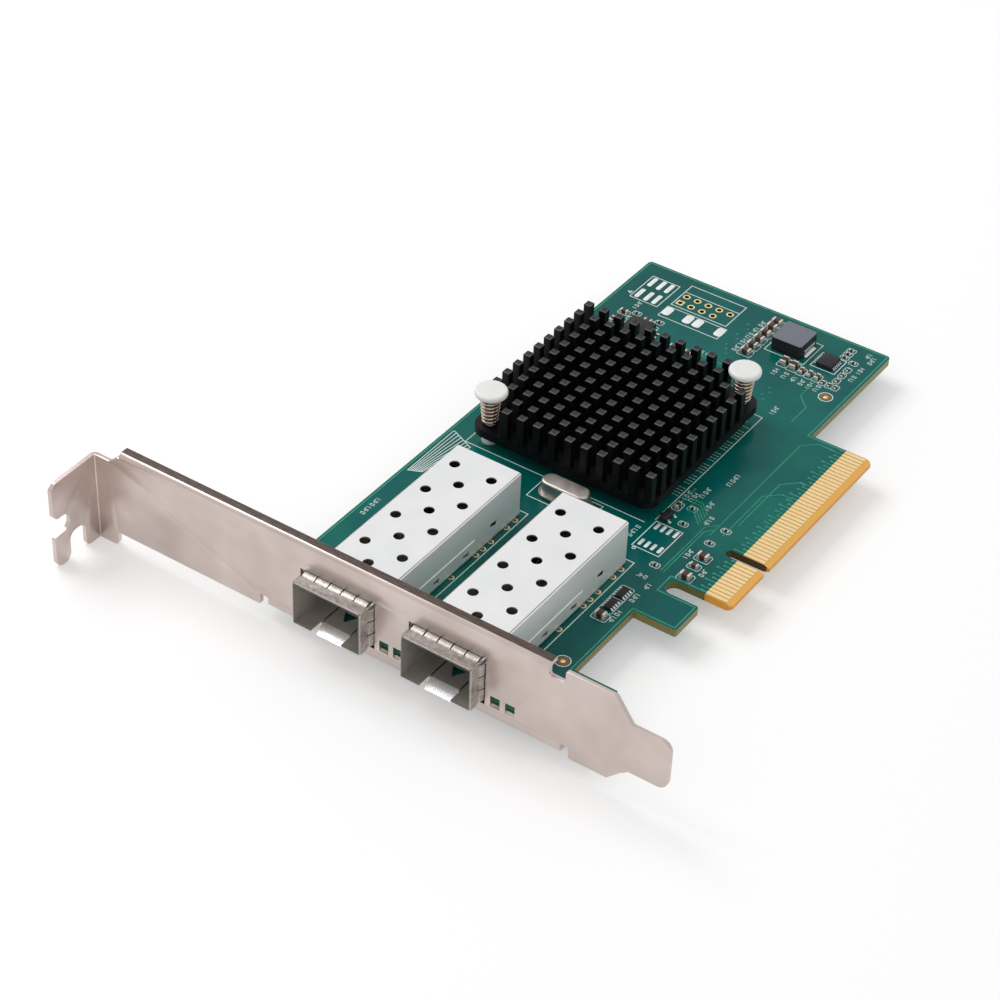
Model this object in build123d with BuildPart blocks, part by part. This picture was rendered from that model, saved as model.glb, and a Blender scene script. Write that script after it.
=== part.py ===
from build123d import *
import os

os.makedirs("parts", exist_ok=True)

# A dual-port network interface card: a low board on a full-height slot bracket, two metal port
# cages, and a pin-fin cooler held by two sprung push pins.
#
# Sizes are in millimetres. Places on the card are given as x, y, z from one corner: x runs inward
# from the bracket's outer face, y runs from the board's lower edge towards the screw tab, and z
# is up from the board's component face.

# Board
board_thickness = 1.57
board_setback = 1.4
board_length = 127.9
board_height = 55.85
board_corner = 0.8
arm_length = 14.7
arm_drop = 9.0
hook_x = 34.9
hook_width = 7.7
hook_drop = 8.6
hook_chamfer = 0.35
relief_slot_top = -0.8

# Edge connector
key_x = 58.4
key_width = 1.9
key_top = -4.7
contact_pitch = 1.0
contact_width = 0.7
contact_length = 4.25
contact_top = -7.6
contact_thickness = 0.05
first_contact = 1.5
end_margin = 0.65
short_row_count = 11
long_row_count = 38
tongue_drop = 13.0
tongue_chamfer = 0.5
bevel_length = 1.15
bevel_depth = 0.42

# Bracket
sheet = 0.86
plate_top = 15.8
plate_bottom = -2.6
bend_outer = 1.1
bend_inner = bend_outer - sheet
seat_y = 91.67
tab_reach = 11.43
foot_drop = 5.7
shoulder_top = 13.0
tongue_tip_y = -28.35
tongue_low = 1.0
tongue_high = 11.1
top_flange_depth = 2.3
top_flange_from = -5.0
top_flange_to = 85.9
low_flange_depth = 3.2
low_flange_from = -7.8
low_flange_to = 53.0
relief_width = 1.7
relief_top = -0.3
shoulder_y = 88.3
shoulder_rise = 0.9
ear_y = 87.3
bite_y = -8.1
bite_depth = 1.3
neck_low_y = -17.0
neck_high_y = -17.65
neck_knee_y = -19.5
neck_knee_z = -0.1
tongue_root_y = -21.05
tongue_round = 2.0
sheet_corner = 0.4
relief_corner = 0.3
window_width = 1.9
window_low = 0.3
window_high = 2.65
window_y = (28.05, 25.15, 5.2, 2.2)

# Screw tab
tab_slope = 0.25
tab_corner_drop = 1.2
tab_shoulder_z = 6.0
tab_shoulder = 0.9
tab_corner = 0.6
notch_low = 1.4
notch_high = 5.0
notch_end = -7.4
notch_lip = 0.3
prong_inner = -7.7
arch_inner = -3.6
prong_round = 1.7

# Bracket lugs and their screws
lug_reach = 9.0
lug_width = 5.8
lug_round = 2.0
screw_x = 6.0
screw_y = (50.1, -4.0)
screw_radius = 1.5
screw_clearance = 0.08
screw_head_radius = 2.7
screw_head_height = 1.8
screw_tail = 0.8

# Port cages
cage_y = {"left": 37.85, "right": 15.08}
cage_width = 14.1
cage_front = -3.25
cage_back = 44.8
cage_top = 9.52
cage_sheet = 0.25
cage_bend = 0.4
snout_bottom = 0.6
snout_back = 1.7
foot_gap = 0.05
port_gap_side = 0.8
port_gap_top = 0.68
port_gap_bottom = 0.5
vent_radius = 1.0
vent_pitch = 8.9
vent_first = 13.1
vent_row = 4.0
vent_count = 4
cage_pin_x = (42.93, 40.3, 35.34, 32.87, 30.72, 23.1)
cage_pin_width = 0.4
cage_pin_drop = 2.4
cage_pin_foot = 0.3
cage_hole_outset = 0.3
side_panel_from = 8.0
side_panel_to = 30.6
side_panel_low = 0.5
side_panel_high = 3.45
side_panel_proud = 0.12
lance_places = ((35.4, 2.5), (26.9, 0.9), (18.0, 0.9))
lance_length = 1.9
lance_window = 1.25
lance_height = 0.75
lance_root = 0.2
lance_proud = 0.4

# Cage floors and their latch tongues
floor_back = 31.0
slit_half_spacing = 3.0
slit_width = 0.35
slit_back = 5.0
latch_from = 1.6
latch_length = 2.6
latch_half_width = 1.5
latch_round = 0.2
lip_root = -0.15
lip_run = 2.3
lip_fall = 1.15

# Spring collars
collar_sheet = 0.12
collar_front = -3.0
collar_band = 1.8
collar_opening = 7.0
finger_length = 4.4
finger_clearance = 0.04
top_finger_pitch = 2.75
top_finger_width = 2.5
top_finger_count = 5
side_finger_pitch = 2.8
side_finger_width = 2.56
side_finger_count = 3
floor_finger_offset = 5.2
floor_finger_width = 2.6

# Module sockets
socket_front = 33.2
socket_length = 9.2
socket_side_gap = 1.4
socket_height = 5.6
slot_side_wall = 0.95
slot_low = 2.5
slot_height = 1.6
slot_depth = 5.6
socket_contact_pitch = 0.8
socket_contact_width = 0.34
socket_contact_sheet = 0.2
socket_contact_count = 10
socket_tail = 0.9

# Cooler
cooler_x = 76.75
cooler_y = 30.6
cooler_size = 40.0
cooler_corner = 3.0
base_low = 2.5
base_thickness = 1.7
fin_size = 1.5
fin_margin = 0.11
fin_top = 10.4
fin_bevel = 0.16
fin_count = 12
fins_left_out = 2
pad_size = 25.0
pad_thickness = 0.5
chip_size = 25.0
chip_step = 2.0
chip_board = 0.9
flash_gap = 9.25

# Push pins
pin_inset = 2.9
pin_head_radius = 3.15
pin_head_low = 10.6
pin_head_height = 1.35
pin_head_round = 0.6
pin_shaft_radius = 0.95
pin_collar_radius = 1.55
pin_neck_radius = 1.15
pin_barb_radius = 1.6
pin_barb_height = 2.4
pin_tip_radius = 0.8
pin_tip_round = 0.3
pin_air = 0.05
pin_split = 0.7
pin_clearance = 0.15
wire_radius = 0.3
spring_low_radius = 1.3
spring_cone = 5.3
spring_turns = 6.5

# Crystal
crystal_gap = 1.15
crystal_y = 26.45
crystal_flange_length = 11.1
crystal_flange_width = 4.6
crystal_can_length = 10.0
crystal_can_width = 3.7
crystal_flange_height = 0.4
crystal_top = 3.5
crystal_round = 0.45
crystal_pad = 0.3
crystal_lead_spacing = 4.9
crystal_lead_radius = 0.22
crystal_lead_drop = 2.4

# Power inductor
inductor_inset = 8.5
inductor_y = 17.25
inductor_size = 6.8
inductor_top = 3.0
inductor_cut = 0.4
inductor_clip_width = 4.0
inductor_clip_sheet = 0.25
inductor_clip_height = 1.5
inductor_clip_foot = 0.7

# Leads and solder
solder_thickness = 0.08
pad_round = 0.35
lead_sheet = 0.2
knee_share = 0.5

# Holes
hole_wall = 0.05
barrel_wall = 0.04
hole_ring = 0.04
header_bore = 0.48
header_ring = 0.78
cage_bore = 0.33
cage_ring = 0.6
header_pitch = 2.54
header_inset = 6.7
header_y = 42.97

# Derived sizes and the model's origin
board_end = board_setback + board_length
tongue_left = key_x - first_contact - (short_row_count - 1) * contact_pitch - end_margin
tongue_right = key_x + first_contact + (long_row_count - 1) * contact_pitch + end_margin
tab_outer_y = seat_y + sheet
base_top = base_low + base_thickness
pad_low = base_low - pad_thickness
fin_pitch = (cooler_size - fin_margin * 2 - fin_size) / (fin_count - 1)
pin_offset = cooler_size / 2 - pin_inset
crystal_x = cooler_x - cooler_size / 2 - crystal_gap - crystal_flange_width / 2
flash_x = cooler_x + cooler_size / 2 + flash_gap
inductor_x = board_end - inductor_inset
header_x = board_end - header_inset
socket_width = cage_width - socket_side_gap * 2
slot_width = socket_width - slot_side_wall * 2
plate_x = (tab_reach - board_end) / 2
edge_y = -(tab_outer_y + tongue_tip_y) / 2
board_z = foot_drop


def spot(x, y, z=0.0):
    """A place on the card, in the model's frame."""
    return (plate_x + x, edge_y + y, board_z + z)


def level(z):
    """A plane parallel to the board; its own x and y are the card's."""
    return Plane(origin=spot(0, 0, z))


def facing(x):
    """A plane parallel to the bracket; its own x and y are the card's y and z."""
    return Plane(origin=spot(x, 0), x_dir=(0, 1, 0), z_dir=(1, 0, 0))


def section(y):
    """A plane across the bracket; its own x and y are the card's x and z, and it faces -y."""
    return Plane(origin=spot(0, y), x_dir=(1, 0, 0), z_dir=(0, -1, 0))


def block(x_span, y_span, z_span, mode=Mode.ADD):
    """A straight block between two corners, in the part being built."""
    low = spot(x_span[0], y_span[0], z_span[0])
    size = (x_span[1] - x_span[0], y_span[1] - y_span[0], z_span[1] - z_span[0])
    with Locations(low):
        Box(*size, align=(Align.MIN, Align.MIN, Align.MIN), mode=mode)


def outline(plane, corners):
    """A closed face from corners given as (across, up, radius)."""
    with BuildSketch(plane) as shape:
        with BuildLine():
            points = [(across, up) for across, up, radius in corners]
            FilletPolyline(*points, radius=[radius for across, up, radius in corners], close=True)
        make_face()
    return shape.sketch


def quarter_bend(plane, centre, corner):
    """The section of a folded corner; corner says which way the quarter opens."""
    with BuildSketch(plane) as shape:
        with Locations(centre):
            Circle(bend_outer)
            Circle(bend_inner, mode=Mode.SUBTRACT)
            Rectangle(bend_outer, bend_outer, align=corner, mode=Mode.INTERSECT)
    return shape.sketch


def strips(planes, corners, width):
    """The same flat outline on each plane, thickened evenly to a width."""
    with BuildSketch(*planes) as shape:
        Polygon(*corners)
    extrude(shape.sketch, amount=width / 2, both=True)


def spaced(centre, count, pitch):
    """Evenly spaced places about a centre."""
    return [centre + (i - (count - 1) / 2) * pitch for i in range(count)]


def drop_tab(left, right, drop, cut):
    """Corners of a tongue that hangs from the board's lower edge."""
    return [
        (left, board_corner),
        (left, cut - drop),
        (left + cut, -drop),
        (right - cut, -drop),
        (right, cut - drop),
        (right, board_corner),
    ]


# Places of what sits on the board: capacitors and resistors as (x, y, turned), where a turned
# piece lies along y. Those near the board's end are placed from that end, and those round the
# memory chip from that chip.
medium_size = (2.0, 1.25, 1.1)
medium_capacitors = [(board_end - d, 23.7, True) for d in (16.1, 13.5, 10.9, 8.35, 5.8, 3.7)]
medium_capacitors += [(board_end - 14.4, 15.9, False), (board_end - 14.6, 13.7, False)]
medium_capacitors += [(48.0, -2.5, True), (54.3, -2.3, True), (30.3, 3.9, True)]
small_size = (1.6, 0.8, 0.75)
small_capacitors = [(board_end - 15.0, y, False) for y in (11.7, 9.9, 8.2)]
small_capacitors += [(flash_x + 0.6, 50.6, False)]
small_capacitors += [(flash_x + 4.4, y, True) for y in (50.2, 44.6)]
small_capacitors += [(flash_x - 0.1, y, True) for y in (35.8, 32.4)]
small_capacitors += [(51.4, -2.2, True), (64.2, 9.05, False)]
resistor_size = (1.0, 0.5, 0.35)
resistors = [(board_end - d, 4.7, False) for d in (13.5, 11.3, 9.1)]
resistors += [(board_end - 15.7, y, False) for y in (6.6, 5.2, 3.8)]
resistors += [(board_end - d, 7.2, True) for d in (5.7, 4.3, 2.9)]
resistors += [(board_end - 6.4, 4.9, True), (58.6, -1.1, True), (63.3, -1.7, True)]
resistors += [(47.6, 3.6, True), (60.4, 5.6, True), (65.1, 6.5, True)]
resistors += [(flash_x + d, y, True) for d in (3.3, 5.6) for y in (47.9, 42.6)]
cap_share = 0.22
cap_swell = 0.03

# Many-legged packages: middle of the body, its size, and the pitch, width and reach of its legs
array_x = (33.75, 37.5)
array_y = 4.05
array_length = 2.9
array_width = 1.3
array_top = 0.6
array_pitch = 0.7
array_leg = 0.36
array_foot = 0.6
array_shelf = 0.4

regulator_x = board_end - 9.4
regulator_y = 8.95
regulator_length = 4.1
regulator_width = 3.4
regulator_top = 1.0
regulator_pitch = 0.65
regulator_leg = 0.3
regulator_foot = 0.6

flash_y = 44.2
flash_length = 5.2
flash_width = 5.3
flash_top = 1.9
flash_pitch = 1.27
flash_leg = 0.42
flash_foot = 1.2

linear_x = 60.2
linear_y = 9.0
linear_length = 2.9
linear_width = 1.5
linear_top = 1.05
linear_pitch = 1.9
linear_leg = 0.5
linear_foot = 0.75

led_x = 4.0
led_size = (1.6, 0.8, 0.7)

header_holes = [(header_x, header_y - header_pitch * row) for row in range(5)]
header_holes += [(header_x - header_pitch, header_y - header_pitch * row) for row in range(4)]
crystal_holes = [(crystal_x, crystal_y + side * crystal_lead_spacing / 2) for side in (-1, 1)]
cage_holes = []
for centre in cage_y.values():
    for side in (-1, 1):
        hole_y = centre + side * (cage_width / 2 + cage_hole_outset)
        cage_holes += [(x, hole_y) for x in cage_pin_x]
pin_spots = {
    "left": (cooler_x - pin_offset, cooler_y + pin_offset),
    "right": (cooler_x + pin_offset, cooler_y - pin_offset),
}

# Board
with BuildPart() as circuit_board:
    with BuildSketch(level(0)):
        with Locations((board_setback + board_length / 2, board_height / 2)):
            RectangleRounded(board_length, board_height, board_corner)
        arm_right = board_setback + arm_length
        Polygon(*drop_tab(board_setback, arm_right, arm_drop, hook_chamfer))
        with Locations((board_setback, 0)):
            Rectangle(board_corner, board_corner * 2, align=Align.MIN)
        Polygon(*drop_tab(hook_x, hook_x + hook_width, hook_drop, hook_chamfer))
        Polygon(*drop_tab(tongue_left, tongue_right, tongue_drop, tongue_chamfer))
        relief_slot = tongue_left - hook_x - hook_width
        relief_middle = tongue_left - relief_slot / 2
        with Locations((relief_middle, relief_slot_top)):
            Rectangle(relief_slot, relief_slot / 2 - relief_slot_top, align=(Align.CENTER, Align.MAX))
        with Locations((relief_middle, 0)):
            Rectangle(relief_slot, board_corner - relief_slot_top * 2)
        with Locations((relief_middle, relief_slot_top - relief_slot / 2)):
            Circle(relief_slot / 2, mode=Mode.SUBTRACT)
            Rectangle(relief_slot, relief_slot, align=(Align.CENTER, Align.MAX), mode=Mode.SUBTRACT)
        with Locations((key_x, key_top - key_width / 2)):
            Circle(key_width / 2, mode=Mode.SUBTRACT)
            Rectangle(key_width, tongue_drop, align=(Align.CENTER, Align.MAX), mode=Mode.SUBTRACT)
        with Locations(*header_holes):
            Circle(header_bore + hole_wall, mode=Mode.SUBTRACT)
        with Locations(*cage_holes):
            Circle(cage_bore + hole_wall, mode=Mode.SUBTRACT)
        with Locations(*crystal_holes):
            Circle(crystal_lead_radius + hole_wall * 2, mode=Mode.SUBTRACT)
        with Locations(*pin_spots.values()):
            Circle(pin_neck_radius + pin_clearance, mode=Mode.SUBTRACT)
        with Locations(*[(screw_x, y) for y in screw_y]):
            Circle(screw_radius + screw_clearance, mode=Mode.SUBTRACT)
    extrude(amount=-board_thickness)
    for face_z, inward in ((0, -1), (-board_thickness, 1)):
        corners = [
            (-tongue_drop, face_z, 0),
            (-tongue_drop + bevel_length, face_z, 0),
            (-tongue_drop, face_z + inward * bevel_depth, 0),
        ]
        bevel = outline(facing(tongue_left), corners)
        extrude(bevel, amount=tongue_right - tongue_left, dir=(1, 0, 0), mode=Mode.SUBTRACT)

circuit_board.part.label = "circuit_board"
export_step(circuit_board.part, "parts/circuit_board.step")

# Edge contacts
contact_x = [key_x - first_contact - contact_pitch * i for i in range(short_row_count)]
contact_x += [key_x + first_contact + contact_pitch * i for i in range(long_row_count)]
contact_low = contact_top - contact_length

with BuildPart() as edge_contacts_top:
    with Locations(*[spot(x, contact_low) for x in contact_x]):
        Box(contact_width, contact_length, contact_thickness, align=(Align.CENTER, Align.MIN, Align.MIN))

edge_contacts_top.part.label = "edge_contacts_top"
export_step(edge_contacts_top.part, "parts/edge_contacts_top.step")

with BuildPart() as edge_contacts_bottom:
    with Locations(*[spot(x, contact_low, -board_thickness) for x in contact_x]):
        Box(contact_width, contact_length, contact_thickness, align=(Align.CENTER, Align.MIN, Align.MAX))

edge_contacts_bottom.part.label = "edge_contacts_bottom"
export_step(edge_contacts_bottom.part, "parts/edge_contacts_bottom.step")


# Plated holes
def plated_holes(places, bore, ring):
    """Metal-lined holes: a thin ring on each face of the board and a barrel between them."""
    for z, height, radius in (
        (0, hole_ring, ring),
        (-board_thickness, board_thickness, bore + barrel_wall),
        (-board_thickness - hole_ring, hole_ring, ring),
    ):
        with BuildSketch(level(z)) as rings:
            with Locations(*places):
                Circle(radius)
                Circle(bore, mode=Mode.SUBTRACT)
        extrude(rings.sketch, amount=height, dir=(0, 0, 1))


with BuildPart() as header_rings:
    plated_holes(header_holes, header_bore, header_ring)
    with BuildSketch(level(0)) as first_pad:
        with Locations(header_holes[5]):
            Rectangle(header_ring * 2, header_ring * 2)
            Circle(header_bore, mode=Mode.SUBTRACT)
    extrude(first_pad.sketch, amount=hole_ring, dir=(0, 0, 1))

header_rings.part.label = "header_rings"
export_step(header_rings.part, "parts/header_rings.step")

with BuildPart() as cage_pin_rings:
    plated_holes(cage_holes, cage_bore, cage_ring)

cage_pin_rings.part.label = "cage_pin_rings"
export_step(cage_pin_rings.part, "parts/cage_pin_rings.step")

# Bracket
fold_y = tab_outer_y - bend_outer
fold_x = sheet - bend_outer
low_bend_z = -board_thickness - sheet + bend_outer
top_bend_z = plate_top - bend_outer
flange_z = -board_thickness - sheet
low_relief_y = low_flange_from - relief_width
high_relief_y = low_flange_to + relief_width
plate_corners = [
    (fold_y, -foot_drop, 0),
    (ear_y, -foot_drop, tab_corner * 2),
    (ear_y, plate_bottom, relief_corner),
    (high_relief_y, plate_bottom, relief_corner),
    (high_relief_y, relief_top, relief_corner),
    (low_flange_to, relief_top, relief_corner),
    (low_flange_to, low_bend_z, 0),
    (low_flange_from, low_bend_z, 0),
    (low_flange_from, relief_top, relief_corner),
    (low_relief_y, relief_top, relief_corner),
    (low_relief_y, plate_bottom, relief_corner),
    (neck_low_y, plate_bottom, sheet_corner),
    (neck_knee_y, neck_knee_z, sheet_corner),
    (tongue_root_y, tongue_low, sheet_corner),
    (tongue_tip_y, tongue_low, tongue_round),
    (tongue_tip_y, tongue_high, tongue_round),
    (tongue_root_y, tongue_high, sheet_corner),
    (neck_high_y, plate_top, tab_corner),
    (bite_y, plate_top, relief_corner),
    (bite_y, top_bend_z - bite_depth, sheet_corner),
    (top_flange_from, top_bend_z - bite_depth, sheet_corner),
    (top_flange_from, top_bend_z, 0),
    (top_flange_to, top_bend_z, 0),
    (shoulder_y - shoulder_rise * 2, top_bend_z, relief_corner),
    (shoulder_y - shoulder_rise, shoulder_top + shoulder_rise, sheet_corner),
    (shoulder_y, shoulder_top, sheet_corner),
    (fold_y, shoulder_top, 0),
]
tab_corners = [
    (fold_x, shoulder_top, 0),
    (tab_corner_drop - tab_reach, shoulder_top - tab_slope, tab_corner),
    (-tab_reach, shoulder_top - tab_corner_drop, tab_corner),
    (-tab_reach, tab_shoulder_z, sheet_corner),
    (tab_shoulder - tab_reach, notch_high, sheet_corner),
    (notch_end, notch_high, prong_round),
    (notch_end, notch_low, prong_round),
    (-tab_reach, notch_low - notch_lip, sheet_corner),
    (-tab_reach, -foot_drop, prong_round),
    (prong_inner, -foot_drop, prong_round),
    (prong_inner, 0, prong_round),
    (arch_inner, 0, prong_round),
    (arch_inner, -foot_drop, tab_corner * 2),
    (fold_x, -foot_drop, 0),
]

with BuildPart() as bracket:
    extrude(outline(facing(0), plate_corners), amount=sheet, dir=(1, 0, 0))
    # screw tab and its fold
    extrude(outline(section(tab_outer_y), tab_corners), amount=sheet, dir=(0, -1, 0))
    tab_fold = quarter_bend(level(-foot_drop), (fold_x, fold_y), (Align.MIN, Align.MIN))
    extrude(tab_fold, amount=foot_drop + shoulder_top, dir=(0, 0, 1))
    # stiffening flange along the top
    top_length = top_flange_to - top_flange_from
    top_fold = quarter_bend(section(top_flange_to), (bend_outer, top_bend_z), (Align.MAX, Align.MIN))
    extrude(top_fold, amount=top_length, dir=(0, -1, 0))
    block((bend_outer, top_flange_depth), (top_flange_from, top_flange_to), (plate_top - sheet, plate_top))
    # flange folded under the board, with its two screw lugs
    low_length = low_flange_to - low_flange_from
    low_fold = quarter_bend(section(low_flange_to), (bend_outer, low_bend_z), (Align.MAX, Align.MAX))
    extrude(low_fold, amount=low_length, dir=(0, -1, 0))
    block((bend_outer, low_flange_depth), (low_flange_from, low_flange_to), (flange_z, flange_z + sheet))
    for y in screw_y:
        lug_corners = [
            (low_flange_depth - board_corner, y - lug_width / 2, 0),
            (lug_reach, y - lug_width / 2, lug_round),
            (lug_reach, y + lug_width / 2, lug_round),
            (low_flange_depth - board_corner, y + lug_width / 2, 0),
        ]
        extrude(outline(level(flange_z), lug_corners), amount=sheet, dir=(0, 0, 1))
    with Locations(*[spot(screw_x, y, flange_z) for y in screw_y]):
        Cylinder(screw_radius + screw_clearance, sheet * 4, mode=Mode.SUBTRACT)
    # port cut-outs and the small windows beside them
    cut = (-sheet, sheet * 2)
    for centre in cage_y.values():
        reach = cage_width / 2 + port_gap_side
        block(
            cut,
            (centre - reach, centre + reach),
            (snout_bottom - port_gap_bottom, cage_top + port_gap_top),
            mode=Mode.SUBTRACT,
        )
    for y in window_y:
        block(
            cut,
            (y - window_width / 2, y + window_width / 2),
            (window_low, window_high),
            mode=Mode.SUBTRACT,
        )

bracket.part.label = "bracket"
export_step(bracket.part, "parts/bracket.step")

# Bracket screws
with BuildPart() as bracket_screws:
    shank = board_thickness + sheet + screw_tail
    with Locations(*[spot(screw_x, y) for y in screw_y]):
        Cylinder(screw_head_radius, screw_head_height, align=(Align.CENTER, Align.CENTER, Align.MIN))
        Cylinder(screw_radius, shank, align=(Align.CENTER, Align.CENTER, Align.MAX))
    rims = bracket_screws.edges().filter_by(GeomType.CIRCLE)
    rims = rims.filter_by_position(Axis.Z, board_z + screw_head_height, board_z + screw_head_height)
    fillet(rims, radius=screw_head_height / 4)
    with Locations(*[spot(screw_x, y, screw_head_height) for y in screw_y]):
        cross = screw_head_radius
        depth = screw_head_height / 2
        Box(cross, cross / 5, depth, align=(Align.CENTER, Align.CENTER, Align.MAX), mode=Mode.SUBTRACT)
        Box(cross / 5, cross, depth, align=(Align.CENTER, Align.CENTER, Align.MAX), mode=Mode.SUBTRACT)

bracket_screws.part.label = "bracket_screws"
export_step(bracket_screws.part, "parts/bracket_screws.step")


# Port cages
def cage_wall(x_from, x_to, centre, wall_bottom):
    """A length of the cage: a roof with rounded corners and a wall down each side."""
    half = cage_width / 2
    inner = half - cage_sheet
    with BuildSketch(facing(x_from)) as wall:
        with Locations((centre, wall_bottom)):
            Rectangle(cage_width, cage_top - wall_bottom - cage_bend, align=(Align.CENTER, Align.MIN))
        with Locations((centre, cage_top)):
            RectangleRounded(cage_width, cage_bend * 4, cage_bend, align=(Align.CENTER, Align.MAX))
        with Locations((centre, wall_bottom)):
            Rectangle(
                inner * 2,
                cage_top - cage_sheet - wall_bottom,
                align=(Align.CENTER, Align.MIN),
                mode=Mode.SUBTRACT,
            )
    extrude(wall.sketch, amount=x_to - x_from, dir=(1, 0, 0))


def finger(plane, start, bulge, width):
    """One bowed spring finger: a thin bow in the given plane, as long as its width."""
    rise = bulge - collar_sheet
    with BuildSketch(plane) as bow:
        with BuildLine():
            ThreePointArc(
                (start, collar_sheet),
                (start + finger_length / 2 - collar_sheet, bulge),
                (start + finger_length, collar_sheet * 2),
            )
            Line((start + finger_length, collar_sheet * 2), (start + finger_length, collar_sheet))
            ThreePointArc(
                (start + finger_length, collar_sheet),
                (start + finger_length / 2 - collar_sheet, rise),
                (start, 0),
            )
            Line((start, 0), (start, collar_sheet))
        make_face()
    extrude(bow.sketch, amount=width / 2, both=True)


pin_out = cage_width / 2 - cage_sheet
finger_start = collar_front + collar_band

for name, centre in cage_y.items():
    half = cage_width / 2
    inner = half - cage_sheet

    # shell: roof, walls, back and the pins that go into the board
    with BuildPart() as cage_shell:
        cage_wall(cage_front, snout_back, centre, snout_bottom)
        cage_wall(snout_back, cage_back, centre, foot_gap)
        block(
            (cage_back - cage_sheet, cage_back),
            (centre - inner, centre + inner),
            (foot_gap, cage_top - cage_sheet),
        )
        vents = []
        for row, shift in ((-vent_row, 0.0), (0.0, -vent_pitch / 2), (vent_row, 0.0)):
            vents += [(vent_first + shift + vent_pitch * i, centre + row) for i in range(vent_count)]
        with Locations(*[spot(x, y, cage_top) for x, y in vents]):
            Cylinder(vent_radius, cage_bend * 4, mode=Mode.SUBTRACT)
        for side in (-1, 1):
            wall_y = centre + side * (half - cage_sheet / 2)
            pin_y = centre + side * (half + cage_hole_outset)
            foot_y = sorted((centre + side * inner, pin_y))
            for x in cage_pin_x:
                pin_span = (x - cage_pin_width / 2, x + cage_pin_width / 2)
                block(pin_span, foot_y, (foot_gap, cage_pin_foot))
                block(
                    pin_span,
                    (pin_y - cage_sheet / 2, pin_y + cage_sheet / 2),
                    (-cage_pin_drop, cage_pin_foot),
                )
            panel_y = sorted((centre + side * (half + side_panel_proud), wall_y))
            block((side_panel_from, side_panel_to), panel_y, (side_panel_low, side_panel_high))
            window_y_span = sorted((centre + side * (inner - cage_sheet), centre + side * (half + lance_proud)))
            for lance_x, lance_z in lance_places:
                block(
                    (lance_x, lance_x + lance_length),
                    window_y_span,
                    (lance_z, lance_z + lance_window),
                    mode=Mode.SUBTRACT,
                )
                tip_x = lance_x + lance_length - lance_root
                with BuildSketch(level(lance_z)) as flap:
                    Polygon(
                        (lance_x - lance_root, centre + side * inner),
                        (lance_x - lance_root, centre + side * half),
                        (tip_x, centre + side * (half + lance_proud)),
                        (tip_x, centre + side * (inner + lance_proud)),
                        align=None,
                    )
                extrude(flap.sketch, amount=lance_height, dir=(0, 0, 1))

    cage_shell.part.label = f"{name}_cage_shell"
    export_step(cage_shell.part, f"parts/{name}_cage_shell.step")

    # floor with the latch tongue between two slits
    with BuildPart() as cage_floor:
        block(
            (cage_front, floor_back),
            (centre - inner, centre + inner),
            (snout_bottom, snout_bottom + cage_sheet),
        )
        for side in (-1, 1):
            slit_y = centre + side * slit_half_spacing
            block(
                (cage_front, slit_back),
                (slit_y - slit_width / 2, slit_y + slit_width / 2),
                (0, snout_bottom + cage_sheet * 2),
                mode=Mode.SUBTRACT,
            )
        tongue_half = slit_half_spacing + slit_width / 2
        block(
            (cage_front, lip_root),
            (centre - tongue_half, centre + tongue_half),
            (0, snout_bottom + cage_sheet * 2),
            mode=Mode.SUBTRACT,
        )
        floor_top = snout_bottom + cage_sheet
        lip = [
            (lip_root, floor_top),
            (lip_root, snout_bottom),
            (lip_root - lip_run, snout_bottom - lip_fall),
            (lip_root - lip_run - cage_sheet / 2, snout_bottom - lip_fall + cage_sheet),
            (lip_root - cage_sheet / 3, floor_top),
        ]
        strips([section(centre)], lip, slit_half_spacing * 2 - slit_width)
        latch = [
            (latch_from, centre, latch_round),
            (latch_from + latch_length, centre - latch_half_width, latch_round),
            (latch_from + latch_length, centre + latch_half_width, latch_round),
        ]
        extrude(outline(level(0), latch), amount=cage_sheet * 4, dir=(0, 0, 1), mode=Mode.SUBTRACT)

    cage_floor.part.label = f"{name}_cage_floor"
    export_step(cage_floor.part, f"parts/{name}_cage_floor.step")

    # spring collar round the snout
    with BuildPart() as spring_collar:
        with BuildSketch(facing(collar_front)) as band:
            with Locations((centre, (snout_bottom + cage_top) / 2)):
                Rectangle(
                    cage_width + collar_sheet * 2,
                    cage_top - snout_bottom + collar_sheet * 2,
                )
                Rectangle(cage_width, cage_top - snout_bottom, mode=Mode.SUBTRACT)
            with Locations((centre, snout_bottom)):
                Rectangle(collar_opening, cage_sheet * 4, mode=Mode.SUBTRACT)
        extrude(band.sketch, amount=collar_band, dir=(1, 0, 0))
        for i in range(top_finger_count):
            y = centre + (i - (top_finger_count - 1) / 2) * top_finger_pitch
            above = Plane(origin=spot(0, y, cage_top), x_dir=(1, 0, 0), z_dir=(0, -1, 0))
            finger(above, finger_start, port_gap_top - finger_clearance, top_finger_width)
        for side in (-1, 1):
            y = centre + side * floor_finger_offset
            below = Plane(origin=spot(0, y, snout_bottom), x_dir=(1, 0, 0), z_dir=(0, 1, 0))
            finger(below, finger_start, port_gap_bottom - finger_clearance, floor_finger_width)
            for i in range(side_finger_count):
                z = (snout_bottom + cage_top) / 2 + (i - (side_finger_count - 1) / 2) * side_finger_pitch
                beside = Plane(origin=spot(0, centre + side * half, z), x_dir=(1, 0, 0), z_dir=(0, 0, side))
                finger(beside, finger_start, port_gap_side - finger_clearance, side_finger_width)

    spring_collar.part.label = f"{name}_spring_collar"
    export_step(spring_collar.part, f"parts/{name}_spring_collar.step")

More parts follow.
